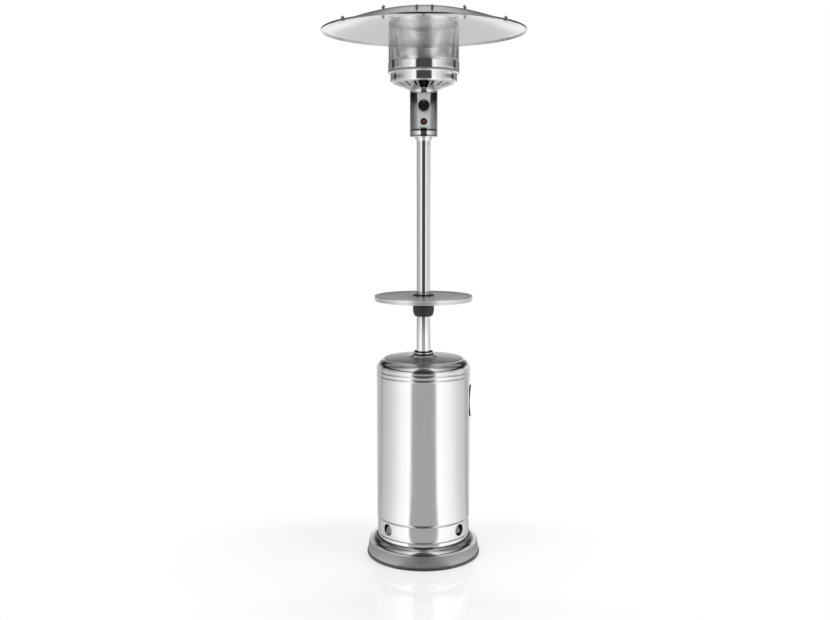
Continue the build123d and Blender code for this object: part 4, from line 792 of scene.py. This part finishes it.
def round_housing():
    """The housing: the wall from hinge to door seam, the strips that stop the door, and the shoulder."""
    line = [(183.5, 171.1), (191.3, 171.1), (192.2, 171.5), *wall_line(172.5, DOOR_TOP)]
    line += arc((HOUSING_R, DOOR_TOP), (184.6, 808), (165, 818), 12) + [(160, 818.3), (150, 818)]
    housing = lathe("housing_wall", line, 180, start=DOOR_START, closed=False)
    drop_faces(housing, lambda azimuth, radius, height: (
        DOOR_START < azimuth % 360 < DOOR_END and height < DOOR_TOP))
    thicken(housing, 1.4)
    profile = [(189.6, 173), (191, 173), (191, 784), (189.6, 784)]
    strips = [solid("stop_strip", profile, 6, start=azimuth, angle=8.9) for azimuth in (63.2, 193.2)]
    for strip in strips:
        edit_all(strip)
        bpy.ops.mesh.fill_holes(sides=8)
        bpy.ops.mesh.normals_make_consistent(inside=False)
        set_mode("OBJECT")
    smooth(join(housing, strips))
    dress(housing, "stand", "housing_steel", "brushed_steel", "housing_shell")


def domed_lid():
    """The lid with its low dome and cone, and the rubber ring round the post."""
    line = [(163, 818.6), (163, 821.6), (162.2, 823.4), (160, 824.6)]
    line += arc((160, 824.6), (114, 828), (62, 830.4), 16)
    line += [(56, 831.4), (51, 834), (45, 837.8), (42, 838.7), (37.6, 838.8), (36.6, 840), (36.4, 848.4),
             (35.8, 849), (28.9, 849)]
    lid = sheet("lid", line, 1.2, 160)
    dress(lid, "stand", "lid_steel", "brushed_steel", "housing_lid")
    seat = [(36.8, 839), (39.8, 839), (40.4, 839.9), (40.4, 842), (39.4, 843), (36.8, 843)]
    dress(solid("lid_rubber", seat, 96), "stand", "black_rubber", "black_rubber", "post_grommet")
    ring = [(28.66, 849.1), (37.6, 849.1), (38.4, 849.8), (38.4, 851.8), (37.4, 852.8), (31, 853.6),
            (28.66, 854)]
    dress(solid("post_rubber", ring, 96), "stand", "black_rubber", "black_rubber", "post_grommet")


def rounded_block(name, width, length, inner, outer):
    """An upright block with half-round ends in the handle's place, between two radii."""
    axis = facing(HANDLE_TURN)
    centre = (axis * (inner + outer) / 2 + UP * HANDLE_HEIGHT) * MM
    piece = block(name, (width, length, outer - inner), frame_at(centre, axis, UP.cross(axis)))

    def runs_outwards(edge):
        first, last = (piece.data.vertices[index].co for index in edge.vertices)
        return abs((first - last).normalized().dot(axis)) > 0.9

    edit_some(piece, "EDGE", runs_outwards)
    bpy.ops.mesh.bevel(offset=width * MM * 0.498, segments=10, affect="EDGES")
    set_mode("OBJECT")
    return piece


def hung_door():
    """The door's sheet with the hole of its handle."""
    door = sheet("door_sheet", wall_line(171.9, 784.2), 1.0, 72, start=68.05, angle=129.1)
    cut(door, [rounded_block("handle_hole", HANDLE_W + 0.2, HANDLE_L + 0.2, 155, 205)])
    smooth(door)
    dress(door, "door", "housing_steel", "brushed_steel", "door_panel")


def recessed_pull():
    """The door's black pull: a frame that dips in its middle, round a deep cup."""
    pull = rounded_block("recessed_pull", HANDLE_W, HANDLE_L, 183.5, 198)
    cup = HANDLE_W - 2 * HANDLE_WALL, HANDLE_L - 2 * HANDLE_WALL
    cut(pull, [rounded_block("pull_cup", *cup, 174.5, 190)], "UNION")
    axis = facing(HANDLE_TURN)
    bend = ((HANDLE_L / 2) ** 2 + HANDLE_DIP ** 2) / (2 * HANDLE_DIP)
    saddle = plug("saddle", [(0, -50), (bend, -50), (bend, 50), (0, 50)], 360,
                  centre=(axis * (191.8 + bend) + UP * HANDLE_HEIGHT) * MM, axis=UP.cross(axis), side=UP)
    cut(pull, [rounded_block("pull_pocket", cup[0] - 4, cup[1] - 4, 176.5, 220), saddle])
    close_shell(pull)
    soften(pull, 0.7, 2, 50)
    smooth(pull, 40)
    dress(pull, "door", "black_plastic", "black_plastic", "door_handle")


# Post and table

def tall_post():
    """The round post."""
    line = [(27.1, 798.1), (28.6, 798.1), (28.6, 1100), (28.6, 1400), (28.6, 1716), (27.1, 1716)]
    dress(solid("post", line, 128), "stand", "post_steel", "polished_steel", "main_post")


def round_table():
    """The table with its rolled rim and the black ring in its middle."""
    line = [(191.5, 1063.4), (192.4, 1062.4), *corner((194, 1062), (200, 1062), (200, 1066), 8)]
    line += corner((200, 1078.5), (200, 1082), (196.5, 1082), 8) + [(120, 1082), (33, 1082)]
    dress(sheet("table_sheet", line, 1.2, 180), "table", "table_steel", "brushed_steel", "table_top")
    ring = [(28.66, 1070.1), (31.5, 1070.1), (31.5, 1082.1), (42.2, 1082.1), (43, 1082.7),
            (43, 1084.2), (42.3, 1085.5), (40.8, 1086.1), (29.8, 1086.1), (28.66, 1085.2)]
    dress(solid("table_ring", ring, 96), "table", "black_plastic", "black_plastic", "table_trim_ring")


def fluted_nut():
    """The nut that squeezes the collet, with its finger grooves."""
    line = [(32.06, 997), (33.2, 997), (35.2, 997.8), (38.4, 1002), (40.8, 1008), (42.4, 1015), (43.2, 1022),
            (43.6, 1029), (43.6, 1034), (43.6, 1040.2), (45.2, 1040.5), (45.5, 1041), (45.5, 1042.4),
            (45, 1043), (32.06, 1043)]
    nut = lathe("clamp_wheel", line, 216)
    close_shell(nut)
    groove_low, groove_top, core_r = 1.0065, 1.0401, 0.0355
    for width, depth in ((4.2, 0.985), (3.0, 0.982), (1.7, 0.988)):
        squeeze(nut, lambda point: (
            off_beat(azimuth_of(point.co), 20) < width and groove_low < point.co.z < groove_top
            and point.co.xy.length > core_r), (depth, depth, 1))
    smooth(nut, 40)
    dress(nut, "clamp_nut", "nut_plastic", "black_plastic", "clamp_nut")


# Control head

KNOB_HEIGHT = 1841
IGNITER_HEIGHT = 1779


def head_casing():
    """The flared collar, the cup, the casing's wall and the shiny ring over it."""
    line = [(24.4, 1668), (26.8, 1668), (26.8, 1716.1), (28.7, 1716.1), (28.7, 1705), (30.4, 1705),
            (30.9, 1706.5), (33, 1710.5), (36.2, 1717.6), (37, 1719.2), (36.6, 1719.9), (24.4, 1719.9)]
    dress(solid("head_collar", line, 96), "stand", "mirror_steel", "polished_steel", "head_spigot")
    line = [(24.4, 1720), (43, 1720), (48, 1720), *corner((52.5, 1720), (55.5, 1720), (55.5, 1723), 6),
            (55.5, 1736), (55.5, 1749.6), (55.2, 1750.6), (54.6, 1751)]
    cup = lathe("casing_cup", line, 120, closed=False)
    drop_faces(cup, lambda azimuth, radius, height: 43 < radius < 48 and 4.5 < azimuth % 18 < 13.5)
    thicken(cup, 1.2)
    dress(cup, "stand", "mirror_steel", "polished_steel", "valve_box_base")
    line = [(55, 1751.1), (55, 1754.9), (55, 1825), (55, 1891.7), (54.6, 1892.7), (53.8, 1893), (47, 1893)]
    wall = lathe("casing_wall", line, 104, start=27.69, closed=False)
    drop_faces(wall, lambda azimuth, radius, height: abs(azimuth) < 27.6 and 1754.9 < height < 1891.7)
    thicken(wall, 1.2)
    dress(wall, "stand", "casing_steel", "brushed_steel", "valve_box_shell")
    line = [(55.5, 1893.1), (55.5, 1901.5), (56.2, 1902.6), (61, 1904.9)]
    dress(sheet("casing_ring", line, 1.2, 104), "stand", "mirror_steel", "polished_steel", "bowl_collar")


def front_plate():
    """The casing's flat plate with small round corners."""
    plate = block("front_plate", (51, 1.5, 136.6), at(0, -47.95, 1823.3))
    soften(plate, 0.35, 2)
    cut(plate, [rod(radius, 40, 60, height, 40) for radius, height in (
        (4.3, KNOB_HEIGHT), (9.6, IGNITER_HEIGHT))])
    smooth(plate)
    dress(plate, "stand", "panel_plate", "panel_steel", "control_panel")


def turning_knob():
    """The knob: skirt, fluted cap, raised grip and its pale pointer line."""
    centre = Vector((0, 0, KNOB_HEIGHT)) * MM
    line = [(0, 70), (4.06, 70), (4.06, 54.7), (22.4, 54.7), (23, 55.2), (23, 57), (22.3, 57.7), (21.4, 58),
            (20.9, 66), (20.6, 75), (20, 76.3), (18.6, 77), (6, 76.6), (0, 76.6)]
    knob = lathe("knob_cap", line, 140, closed=False, centre=centre, axis=facing(0), side=UP)
    close_shell(knob)

    def in_flute(point):
        out = point.co - centre
        near = off_beat(math.degrees(math.atan2(out.x, out.z)), 360 / 14) < 4.5
        return near and -0.0765 < point.co.y < -0.0585 and math.hypot(out.x, out.z) > 0.018

    squeeze(knob, in_flute, (0.93, 1, 0.93), centre)
    grip = block("knob_grip", (9, 9, 41), at(0, -74.2, KNOB_HEIGHT))
    edit_some(grip, "FACE", lambda face: face.normal.y < -0.9)
    bpy.ops.mesh.inset(thickness=0.0012)
    set_mode("OBJECT")
    soften(grip, 0.8, 3)
    smooth(join(knob, [grip]), 35)
    dress(knob, "knob", "black_plastic", "black_plastic", "control_knob")
    mark = block("knob_pointer", (1.6, 0.6, 10), at(0, -78.7, 1854.5))
    soften(mark, 0.15, 2)
    dress(mark, "knob", "pointer_paint", "white_ceramic")


def igniter_front():
    """The igniter's black bezel and its button: a black sleeve with a red cap."""
    place = {"centre": Vector((0, 0, IGNITER_HEIGHT)) * MM, "axis": facing(0), "side": UP}
    line = [(6.56, 26.7), (9.5, 26.7), (9.5, 48.8), (12.4, 48.8), (13, 49.3), (13, 50.4), (12.3, 51.6),
            (11.2, 52.2), (7.4, 52.3), (6.9, 51.9), (6.56, 51)]
    dress(solid("igniter_ring", line, 56, **place), "stand", "black_plastic", "black_plastic",
          "igniter_bezel")
    line = [(0, 42.8), (6.5, 42.8), (6.5, 53.2), (6.1, 54), (5.4, 54.3), (5, 54), (4.9, 53.4), (0, 53.4)]
    dress(plug("igniter_sleeve", line, 48, **place), "igniter_button", "black_plastic", "red_plastic",
          "igniter_button")
    line = [(0, 53.5), (4.8, 53.5), (4.8, 54.4), (4.3, 55), (3, 55.4), (1.2, 55.7), (0, 55.7)]
    dress(plug("igniter_cap", line, 48, **place), "igniter_button", "red_plastic", "red_plastic",
          "igniter_button")


# Burner

def slotted_bowl():
    """The bowl: slotted cone, lower band and bead, and the upper band over it."""
    line = [(42, 1906.2), (60, 1906.2), (63, 1906.6), (70, 1909.5), (87, 1916.2), (104, 1922.9), (121, 1929.5),
            (123, 1930.2), (127.5, 1932), (130.2, 1933.6), (132.2, 1935.8), (132.7, 1938), (132.7, 1950),
            (132.7, 1967), (133.3, 1969.4), (135, 1971.2), (138.4, 1972.6), (139.2, 1974), (139.4, 1976),
            (139.4, 1979.4)]
    bowl = lathe("bowl", line, 200, closed=False)

    opening_r, slot_r, cone_r, cone_top = 70, 87, 123, 1931

    def in_slot(azimuth, radius, height):
        opening, slot = abs(azimuth) < 10.8, radius > slot_r and off_beat(azimuth, 18) < 1.8
        return (opening or slot) and opening_r < radius < cone_r and height <= cone_top

    drop_faces(bowl, in_slot)
    thicken(bowl, 1.2)
    dress(bowl, "stand", "bowl_steel", "polished_steel", "burner_bowl")
    roll = [(139.5, 1971.8), (140.9, 1972.3), (142.3, 1973.7), (142.9, 1976), (142.5, 1978.4), (141.4, 1979.5),
            (139.5, 1979.5)]
    dress(solid("bowl_roll", roll, 192), "stand", "bead_steel", "polished_steel", "burner_bowl")
    line = [(128, 1979.6), (140.6, 1979.6), (141.5, 1980), (141.7, 1981), (141.7, 1998), (141.7, 2009.6),
            (141.9, 2010.8), (141.7, 2011.7), (141.2, 2012)]
    dress(sheet("band", line, 1.0, 192), "stand", "mirror_steel", "polished_steel", "burner_band")


def punched_half(name, first_column, values):
    """Half of the screen: one punched cell, repeated up and along, then rolled."""
    pitch_x = math.pi * 2 * values.radius / values.columns
    pitch_z = values.pitch
    cell_r = pitch_x / 1.5
    stretch = pitch_z / (math.sqrt(3) * cell_r)
    begin()
    bpy.ops.mesh.primitive_circle_add(vertices=12, radius=values.hole, rotation=(math.pi / 2, 0, 0))
    cell = bpy.context.object
    cell.name = cell.data.name = name
    bake_place(cell)
    edit_all(cell)
    bpy.ops.mesh.extrude_edges_move(TRANSFORM_OT_translate={"value": (0, 0, 0)})
    scale = cell_r / values.hole
    bpy.ops.transform.resize(value=(scale, 1, scale), center_override=(0, 0, 0))
    set_mode("OBJECT")
    rim = [point for point in cell.data.vertices if point.co.length > cell_r * 0.8]
    for turn in range(12):
        edge_r = cell_r if turn % 2 == 0 else cell_r * math.cos(math.pi / 6)
        angle = math.radians(turn * 30)
        flat = Vector((math.cos(angle), 0, math.sin(angle)))
        nearest = min(rim, key=lambda point: (point.co.normalized() - flat).length)
        nearest.co = (edge_r * math.cos(angle), 0, edge_r * math.sin(angle) * stretch)
        rim.remove(nearest)
    for count, move in ((2, (pitch_x, 0, pitch_z / 2)), (values.rows, (0, 0, pitch_z)),
                        (values.columns // 4, (pitch_x * 2, 0, 0))):
        apply_modifier(cell, "ARRAY", count=count, use_relative_offset=False, use_constant_offset=True,
                       constant_offset_displace=move, use_merge_vertices=True, merge_threshold=0.0001)
    for point in cell.data.vertices:
        turn = (point.co.x / pitch_x + first_column) / values.columns * math.tau
        side = Vector((math.sin(turn), -math.cos(turn), 0)) * values.radius
        point.co = side + UP * (point.co.z + values.low + pitch_z / 2)
    apply_modifier(cell, "SOLIDIFY", thickness=values.sheet, offset=-1.0, use_rim=True)
    smooth(cell, 30)
    return cell


def punched_screen():
    """The perforated screen between two plain edges, with its lid."""
    values = bpy.context.scene.heater_screen
    halves = [punched_half("screen_front", -values.columns / 4, values),
              punched_half("screen_back", values.columns / 4, values)]
    dress(halves[0], "stand", "screen_steel", "screen_steel", "emitter_screen")
    dress(halves[1], "stand", "screen_steel", "screen_steel", "emitter_screen")
    low = values.low / MM
    top = max(point.co.z for point in halves[0].data.vertices) / MM
    for name, start, end in (("screen_foot", 1988, low + 3.6), ("screen_head", top - 3.8, 2173)):
        line = [(138.25, start), (139.05, start), (139.05, end), (138.25, end)]
        dress(solid(name, line, 140), "stand", "screen_steel", "screen_steel", "emitter_screen")
    line = [(138.1, 2157), (138.1, 2166), *corner((138.1, 2167.6), (138.1, 2169), (136.6, 2169), 4),
            (96, 2169), (60, 2169), (0, 2169)]
    dress(sheet("screen_lid", line, 1.5, 140), "stand", "screen_steel", "screen_steel", "screen_top_plate")


# Reflector

RIM_R, LIP_W, CAP_R = 406.5, 25, 270
SLOPE = math.radians(18.5)
LIP_TOP = 2137 + LIP_W * math.tan(math.radians(9))
CAP_FOOT = LIP_TOP + (RIM_R - LIP_W - CAP_R) * math.tan(SLOPE)
BALL_R = CAP_R / math.sin(SLOPE)


def dome_height(radius):
    """The height of the reflector's outer side, inside its lip: a cone with a ball's cap on it."""
    if radius > CAP_R:
        return CAP_FOOT - (radius - CAP_R) * math.tan(SLOPE)
    return CAP_FOOT - BALL_R * math.cos(SLOPE) + math.sqrt(BALL_R ** 2 - radius ** 2)


def dome_place(azimuth, radius, upwards=False):
    """A place 0.1 mm over the reflector's outer side and square to it, with its X level or upwards."""
    slope = SLOPE if radius > CAP_R else math.asin(radius / BALL_R)
    spot = facing(azimuth)
    axis = spot * math.sin(slope) + UP * math.cos(slope)
    side = UP.cross(spot)
    return frame_at((spot * radius + UP * dome_height(radius) + axis * 0.1) * MM, axis,
                    axis.cross(side) if upwards else side)


def wide_reflector():
    """The reflector's three sectors with their rolled rim and the laps under their seams."""
    line = [(406.5, 2130.6), (406.5, 2134.4), (406.5, 2137), (405.9, 2137.6), (396, 2139)]
    line += [(384, 2140.7), (381.5, LIP_TOP), (379, LIP_TOP + 0.8)]
    for radius in (360, 330, 300, 285, 270, 255, 240, 210, 180, 150, 120, 90, 60, 30, 12):
        line.append((radius, dome_height(radius)))
    lap_line = [(radius, dome_height(radius) - 1.2) for radius in (372, 300, 270, 210, 150, 90, 30)]
    for number, start in enumerate((60, 180, 300), 1):
        sector = sheet(f"reflector_sheet_{number}", line, 0.9, 60, start=start + 0.065, angle=119.87)
        lap = sheet("seam_lap", lap_line, 0.9, 3, start=start + 117.8, angle=4.4)
        dress(join(sector, [lap]), "stand", "reflector_steel", "polished_steel", f"reflector_panel_{number}")


def wing_nut():
    """One wing nut that stands on its origin."""
    nut = lathe("wing_hub", [(3.1, 0), (5.2, 0), (5.4, 0.4), (5, 3), (4.7, 6.6), (4.3, 7), (3.1, 7)], 20)
    close_shell(nut)
    smooth(nut, 40)
    wings = []
    for side in (1, -1):
        wing = block("wing", (4.2, 2.4, 5), at(side * 5.2, 0, 4.2))
        for reach, lift, grow in ((0.003, 0.0026, 1.0), (0.0026, 0.0026, 1.12), (0.0014, 0.0008, 0.6)):
            end = max(wing.data.polygons, key=lambda face: side * face.center.x)
            index, middle = end.index, end.center + Vector((side * reach, 0, lift))
            edit_some(wing, "FACE", lambda face: face.index == index)
            bpy.ops.mesh.extrude_region_move(TRANSFORM_OT_translate={"value": (side * reach, 0, lift)})
            bpy.ops.transform.resize(value=(1, 0.9, grow), center_override=middle)
            set_mode("OBJECT")
        soften(wing, 0.5, 2, 25)
        smooth(wing, 60)
        wings.append(wing)
    return join(nut, wings)


def reflector_fixings():
    """The wing nuts: on the studs, at the seams' outer ends and on the front sector."""
    places = []
    for azimuth in (60, 180, 300):
        spot = facing(azimuth)
        rise = 0.1 + 5 * math.tan(math.asin(182 / BALL_R))
        stud = (spot * 182 + UP * (dome_height(182) + rise)) * MM
        places.append(frame_at(stud, UP, UP.cross(spot)))
        places.append(dome_place(azimuth, 355))
    for azimuth in (-5.6, 5.6):
        places.append(dome_place(azimuth, 289, upwards=True))
    nuts = place_copies(wing_nut(), "reflector_wing_nuts", places)
    dress(nuts, "stand", "nut_zinc", "polished_steel", "wing_nuts")


def screw_head(radius, height):
    """A pan head with a cross recess that stands on its origin."""
    line = [(0, -1.6), (radius * 0.5, -1.6), (radius * 0.5, 0), (radius, 0), (radius, height * 0.35),
            (radius * 0.86, height * 0.75), (radius * 0.6, height * 0.95), (0, height)]
    head = lathe("screw", line, 24, closed=False)
    close_shell(head)
    cut(head, [block("blade", (length * radius, width * radius, height), at(0, 0, height))
               for length, width in ((1.25, 0.3), (0.3, 1.25))])
    smooth(head, 35)
    return head


def all_screws():
    """The screws round the casing, the band, the post's socket and its top."""
    rows = (
        ("casing_screws", "box_screws", 3.2, 1.8, ((55.6, 1739), (55.6, 1898))),
        ("band_screw_heads", "band_screws", 3.2, 1.8, ((141.8, 2003),)),
        ("post_screw_heads", "post_screws", 4.2, 2.4, ((32.6, 822), (28.7, 1691))),
    )
    for name, cad_node, radius, height, rings in rows:
        places = []
        for azimuth in (45, 135, 225, 315):
            for out, level in rings:
                axis = facing(azimuth)
                places.append(frame_at((axis * out + UP * level) * MM, axis, UP + axis.cross(UP) * 0.4))
        heads = place_copies(screw_head(radius, height), name, places)
        dress(heads, "stand", "bright_zinc", "polished_steel", cad_node)


# Studio

def make_world():
    """White for the camera and in metal, and a soft level light for everything else."""
    scene = bpy.context.scene
    scene.world = scene.world or bpy.data.worlds.new("studio_world")
    scene.world.use_nodes = True
    tree = scene.world.node_tree
    tree.nodes.clear()
    rays = node(tree, "LightPath").outputs
    seen = maths(tree, "MAXIMUM", rays["Is Camera Ray"], rays["Is Glossy Ray"])
    seen = maths(tree, "MAXIMUM", seen, rays["Is Transmission Ray"])
    level = spread(tree, seen, scene.heater_studio.soft, 1.0)
    back = node(tree, "Background", {"Color": (1, 1, 1), "Strength": level})
    node(tree, "OutputWorld", {"Surface": back.outputs[0]})


def emission(tree, strength):
    """White light of a strength."""
    return node(tree, "Emission", {"Strength": strength}).outputs[0]


def either(tree, mask, first, second):
    """Mixes two shaders by a mask."""
    return node(tree, "MixShader", {0: mask, 1: first, 2: second}).outputs[0]


def stage_piece(name, finish, surface, hidden_from=()):
    """Names the active piece, gives it the surface that a function makes, and hides it from the rays that are
    listed.
    """
    piece = bpy.context.object
    piece.name = piece.data.name = name
    tree = new_finish(finish)
    feed(tree, tree.nodes["Material Output"].inputs["Surface"], surface(tree))
    piece.data.materials.append(finish_of(finish))
    for ray in hidden_from:
        setattr(piece, f"visible_{ray}", False)


def floor_surface(tree):
    """A white floor that keeps the shadow and a faint mirror image, with painted shade under the foot where
    its glow stops, and shows the metal its bands.
    """
    set_shader(tree, Base_Color=(0.45, 0.45, 0.45), Roughness=0.03, Specular_IOR_Level=0.9)
    matt = tree.nodes["Principled BSDF"].outputs[0]
    rays = node(tree, "LightPath").outputs
    away = node(tree, "VectorMath", {0: object_point(tree)}, operation="LENGTH").outputs["Value"]
    # The glow stops inside the foot's radius: painted shade on the floor under the pan, which also deepens the
    # contact shadow.
    glow = emission(tree, soft_step(tree, away, 0.215, 0.235, 0.0, 0.52))
    near = node(tree, "AddShader", {0: matt, 1: glow}).outputs[0]
    faded = either(tree, soft_step(tree, away, 0.45, 1.2), near, emission(tree, 1.0))
    seen = maths(tree, "MAXIMUM", rays["Is Camera Ray"], rays["Is Transmission Ray"])
    bands = emission(tree, put_group(tree, "floor_levels")["Level"])
    return either(tree, rays["Is Glossy Ray"], either(tree, seen, matt, faded), bands)


def wall_surface(tree):
    """The light that only the metal mirrors: bands, glows behind and beside, and a darker belt."""
    tree.nodes.remove(tree.nodes["Principled BSDF"])
    bands = put_group(tree, "wall_levels")
    turn, height = maths(tree, "ABSOLUTE", bands["Turn"]), bands["Height"]
    behind = soft_step(tree, turn, math.radians(150), math.radians(168), 0.0, 0.5)
    above = maths(tree, "MULTIPLY", behind, soft_step(tree, height, 5.3, 5.6, 0.0, 0.9))
    behind = maths(tree, "MULTIPLY", behind, soft_step(tree, height, 1.4, 1.8, 1.0, 0.0))
    lean = maths(tree, "MULTIPLY_ADD", maths(tree, "SINE", bands["Turn"]), 0.17, 0.46)
    sides = maths(tree, "MULTIPLY", lean, soft_step(tree, turn, math.radians(60), math.radians(100)))
    sides = maths(tree, "MULTIPLY", sides, soft_step(tree, height, 2.05, 2.35, 1.0, 0.0))
    glows = maths(tree, "ADD", maths(tree, "ADD", behind, sides), above)
    belt = maths(tree, "MULTIPLY", soft_step(tree, height, 3.08, 3.22, 0.0, 0.92),
                 soft_step(tree, height, 5.1, 5.4, -1.0, 0.0))
    lit = maths(tree, "ADD", bands["Level"], glows)
    return emission(tree, maths(tree, "MULTIPLY", lit, maths(tree, "ADD", belt, 1.0)))


def make_floor():
    """The floor."""
    begin()
    bpy.ops.mesh.primitive_circle_add(vertices=96, radius=30, fill_type="NGON", location=(0, 0, -0.0002))
    stage_piece("floor", "floor_white", floor_surface)


def make_wall():
    """A round wall and ceiling."""
    begin()
    radius = bpy.context.scene.heater_studio.wall
    bpy.ops.mesh.primitive_cylinder_add(vertices=96, radius=radius, depth=7, location=(0, 0, 3.5))
    wall = bpy.context.object
    bake_place(wall)
    drop_faces(wall, lambda azimuth, radius, height: height < 10)
    stage_piece("studio_wall", "wall_bands", wall_surface,
                ("camera", "diffuse", "transmission", "volume_scatter", "shadow"))


def make_lamps():
    """Large soft lamps at the upper left, at the right and behind."""
    for name, place in (("lamp_left", (-3.0, -2.6, 3.6)), ("lamp_right", (3.2, -1.6, 2.8)),
                        ("lamp_back", (0.4, 3.2, 3.4))):
        begin()
        aim = (Vector((0, 0, 1.1)) - Vector(place)).to_track_quat("-Z", "Y").to_euler()
        bpy.ops.object.light_add(type="AREA", location=place, rotation=aim)
        lamp = bpy.context.object
        lamp.name = name
        lamp.data.size = 2.4
        lamp.data.energy = bpy.context.scene.heater_studio.lamp
        lamp.visible_glossy = False
        lamp.visible_camera = False


def make_camera():
    """The camera at the photograph's viewpoint."""
    studio = bpy.context.scene.heater_studio
    data = bpy.data.cameras.new("camera")
    data.lens = studio.lens
    data.sensor_fit = "HORIZONTAL"
    data.sensor_width = 36.0
    camera = bpy.data.objects.new("camera", data)
    camera.location = studio.eye
    camera.rotation_euler = (math.pi / 2 - studio.tilt, 0, 0)
    bpy.context.scene.collection.objects.link(camera)
    bpy.context.scene.camera = camera


# Operators

class Maker:
    """Runs its steps one after another."""
    steps = ()

    def execute(self, context):
        for job in self.steps:
            job()
        return {"FINISHED"}


class MakeFinishes(Maker, bpy.types.Operator):
    """Make the heater's shader groups and materials"""
    bl_idname = "heater.make_finishes"
    bl_label = "Finishes"
    steps = (make_groups, make_finishes)


class DressFrame(Maker, bpy.types.Operator):
    """Give every part of the frame its finish"""
    bl_idname = "heater.dress_frame"
    bl_label = "Frame"
    steps = (dress_frame,)


class MakeHousing(Maker, bpy.types.Operator):
    """Make the foot, the housing, its lid and door"""
    bl_idname = "heater.make_housing"
    bl_label = "Foot and housing"
    steps = (pressed_foot, vented_ring, round_housing, domed_lid, hung_door, recessed_pull)


class MakeTable(Maker, bpy.types.Operator):
    """Make the post, the table and its clamp nut"""
    bl_idname = "heater.make_table"
    bl_label = "Post and table"
    steps = (tall_post, round_table, fluted_nut)


class MakeControls(Maker, bpy.types.Operator):
    """Make the control head with its knob and igniter"""
    bl_idname = "heater.make_controls"
    bl_label = "Control head"
    steps = (head_casing, front_plate, turning_knob, igniter_front)


class MakeBurner(Maker, bpy.types.Operator):
    """Make the burner's bowl, band and perforated screen"""
    bl_idname = "heater.make_burner"
    bl_label = "Burner"
    steps = (slotted_bowl, punched_screen)


class MakeReflector(Maker, bpy.types.Operator):
    """Make the reflector with its wing nuts"""
    bl_idname = "heater.make_reflector"
    bl_label = "Reflector"
    steps = (wide_reflector, reflector_fixings)


class MakeScrews(Maker, bpy.types.Operator):
    """Make the screws of the casing, band and post"""
    bl_idname = "heater.make_screws"
    bl_label = "Screws"
    steps = (all_screws,)


class MakeStudio(Maker, bpy.types.Operator):
    """Make the camera, floor, wall, lamps and world"""
    bl_idname = "heater.make_studio"
    bl_label = "Studio"
    steps = (make_world, make_floor, make_wall, make_lamps, make_camera)


class HeaterPanel(bpy.types.Panel):
    """Lists the heater's operators and values"""
    bl_idname = "VIEW3D_PT_heater"
    bl_label = "Gas heater"
    bl_space_type = "VIEW_3D"
    bl_region_type = "UI"
    bl_category = "Heater"

    def draw(self, context):
        for operator in OPERATORS:
            self.layout.operator(operator.bl_idname)
        for group_name in GROUPS:
            group = getattr(context.scene, group_name)
            box = self.layout.box()
            for name in group.bl_rna.properties.keys():
                if name not in ("rna_type", "name"):
                    box.prop(group, name)


OPERATORS = (MakeFinishes, DressFrame, MakeHousing, MakeTable, MakeControls, MakeBurner, MakeReflector,
             MakeScrews, MakeStudio)
GROUPS = {
    "heater_steel": HeaterSteel,
    "heater_plastic": HeaterPlastic,
    "heater_screen": HeaterScreen,
    "heater_studio": HeaterStudio,
}
CLASSES = (*GROUPS.values(), *OPERATORS, HeaterPanel)


def register():
    for one in CLASSES:
        bpy.utils.register_class(one)
    for name, group in GROUPS.items():
        setattr(bpy.types.Scene, name, bpy.props.PointerProperty(type=group))


def unregister():
    for name in GROUPS:
        delattr(bpy.types.Scene, name)
    for one in reversed(CLASSES):
        bpy.utils.unregister_class(one)


def main():
    register()
    bpy.context.scene.view_settings.view_transform = "Standard"
    for operator in OPERATORS:
        group, name = operator.bl_idname.split(".")
        getattr(getattr(bpy.ops, group), name)()


if __name__ == "__main__":
    main()
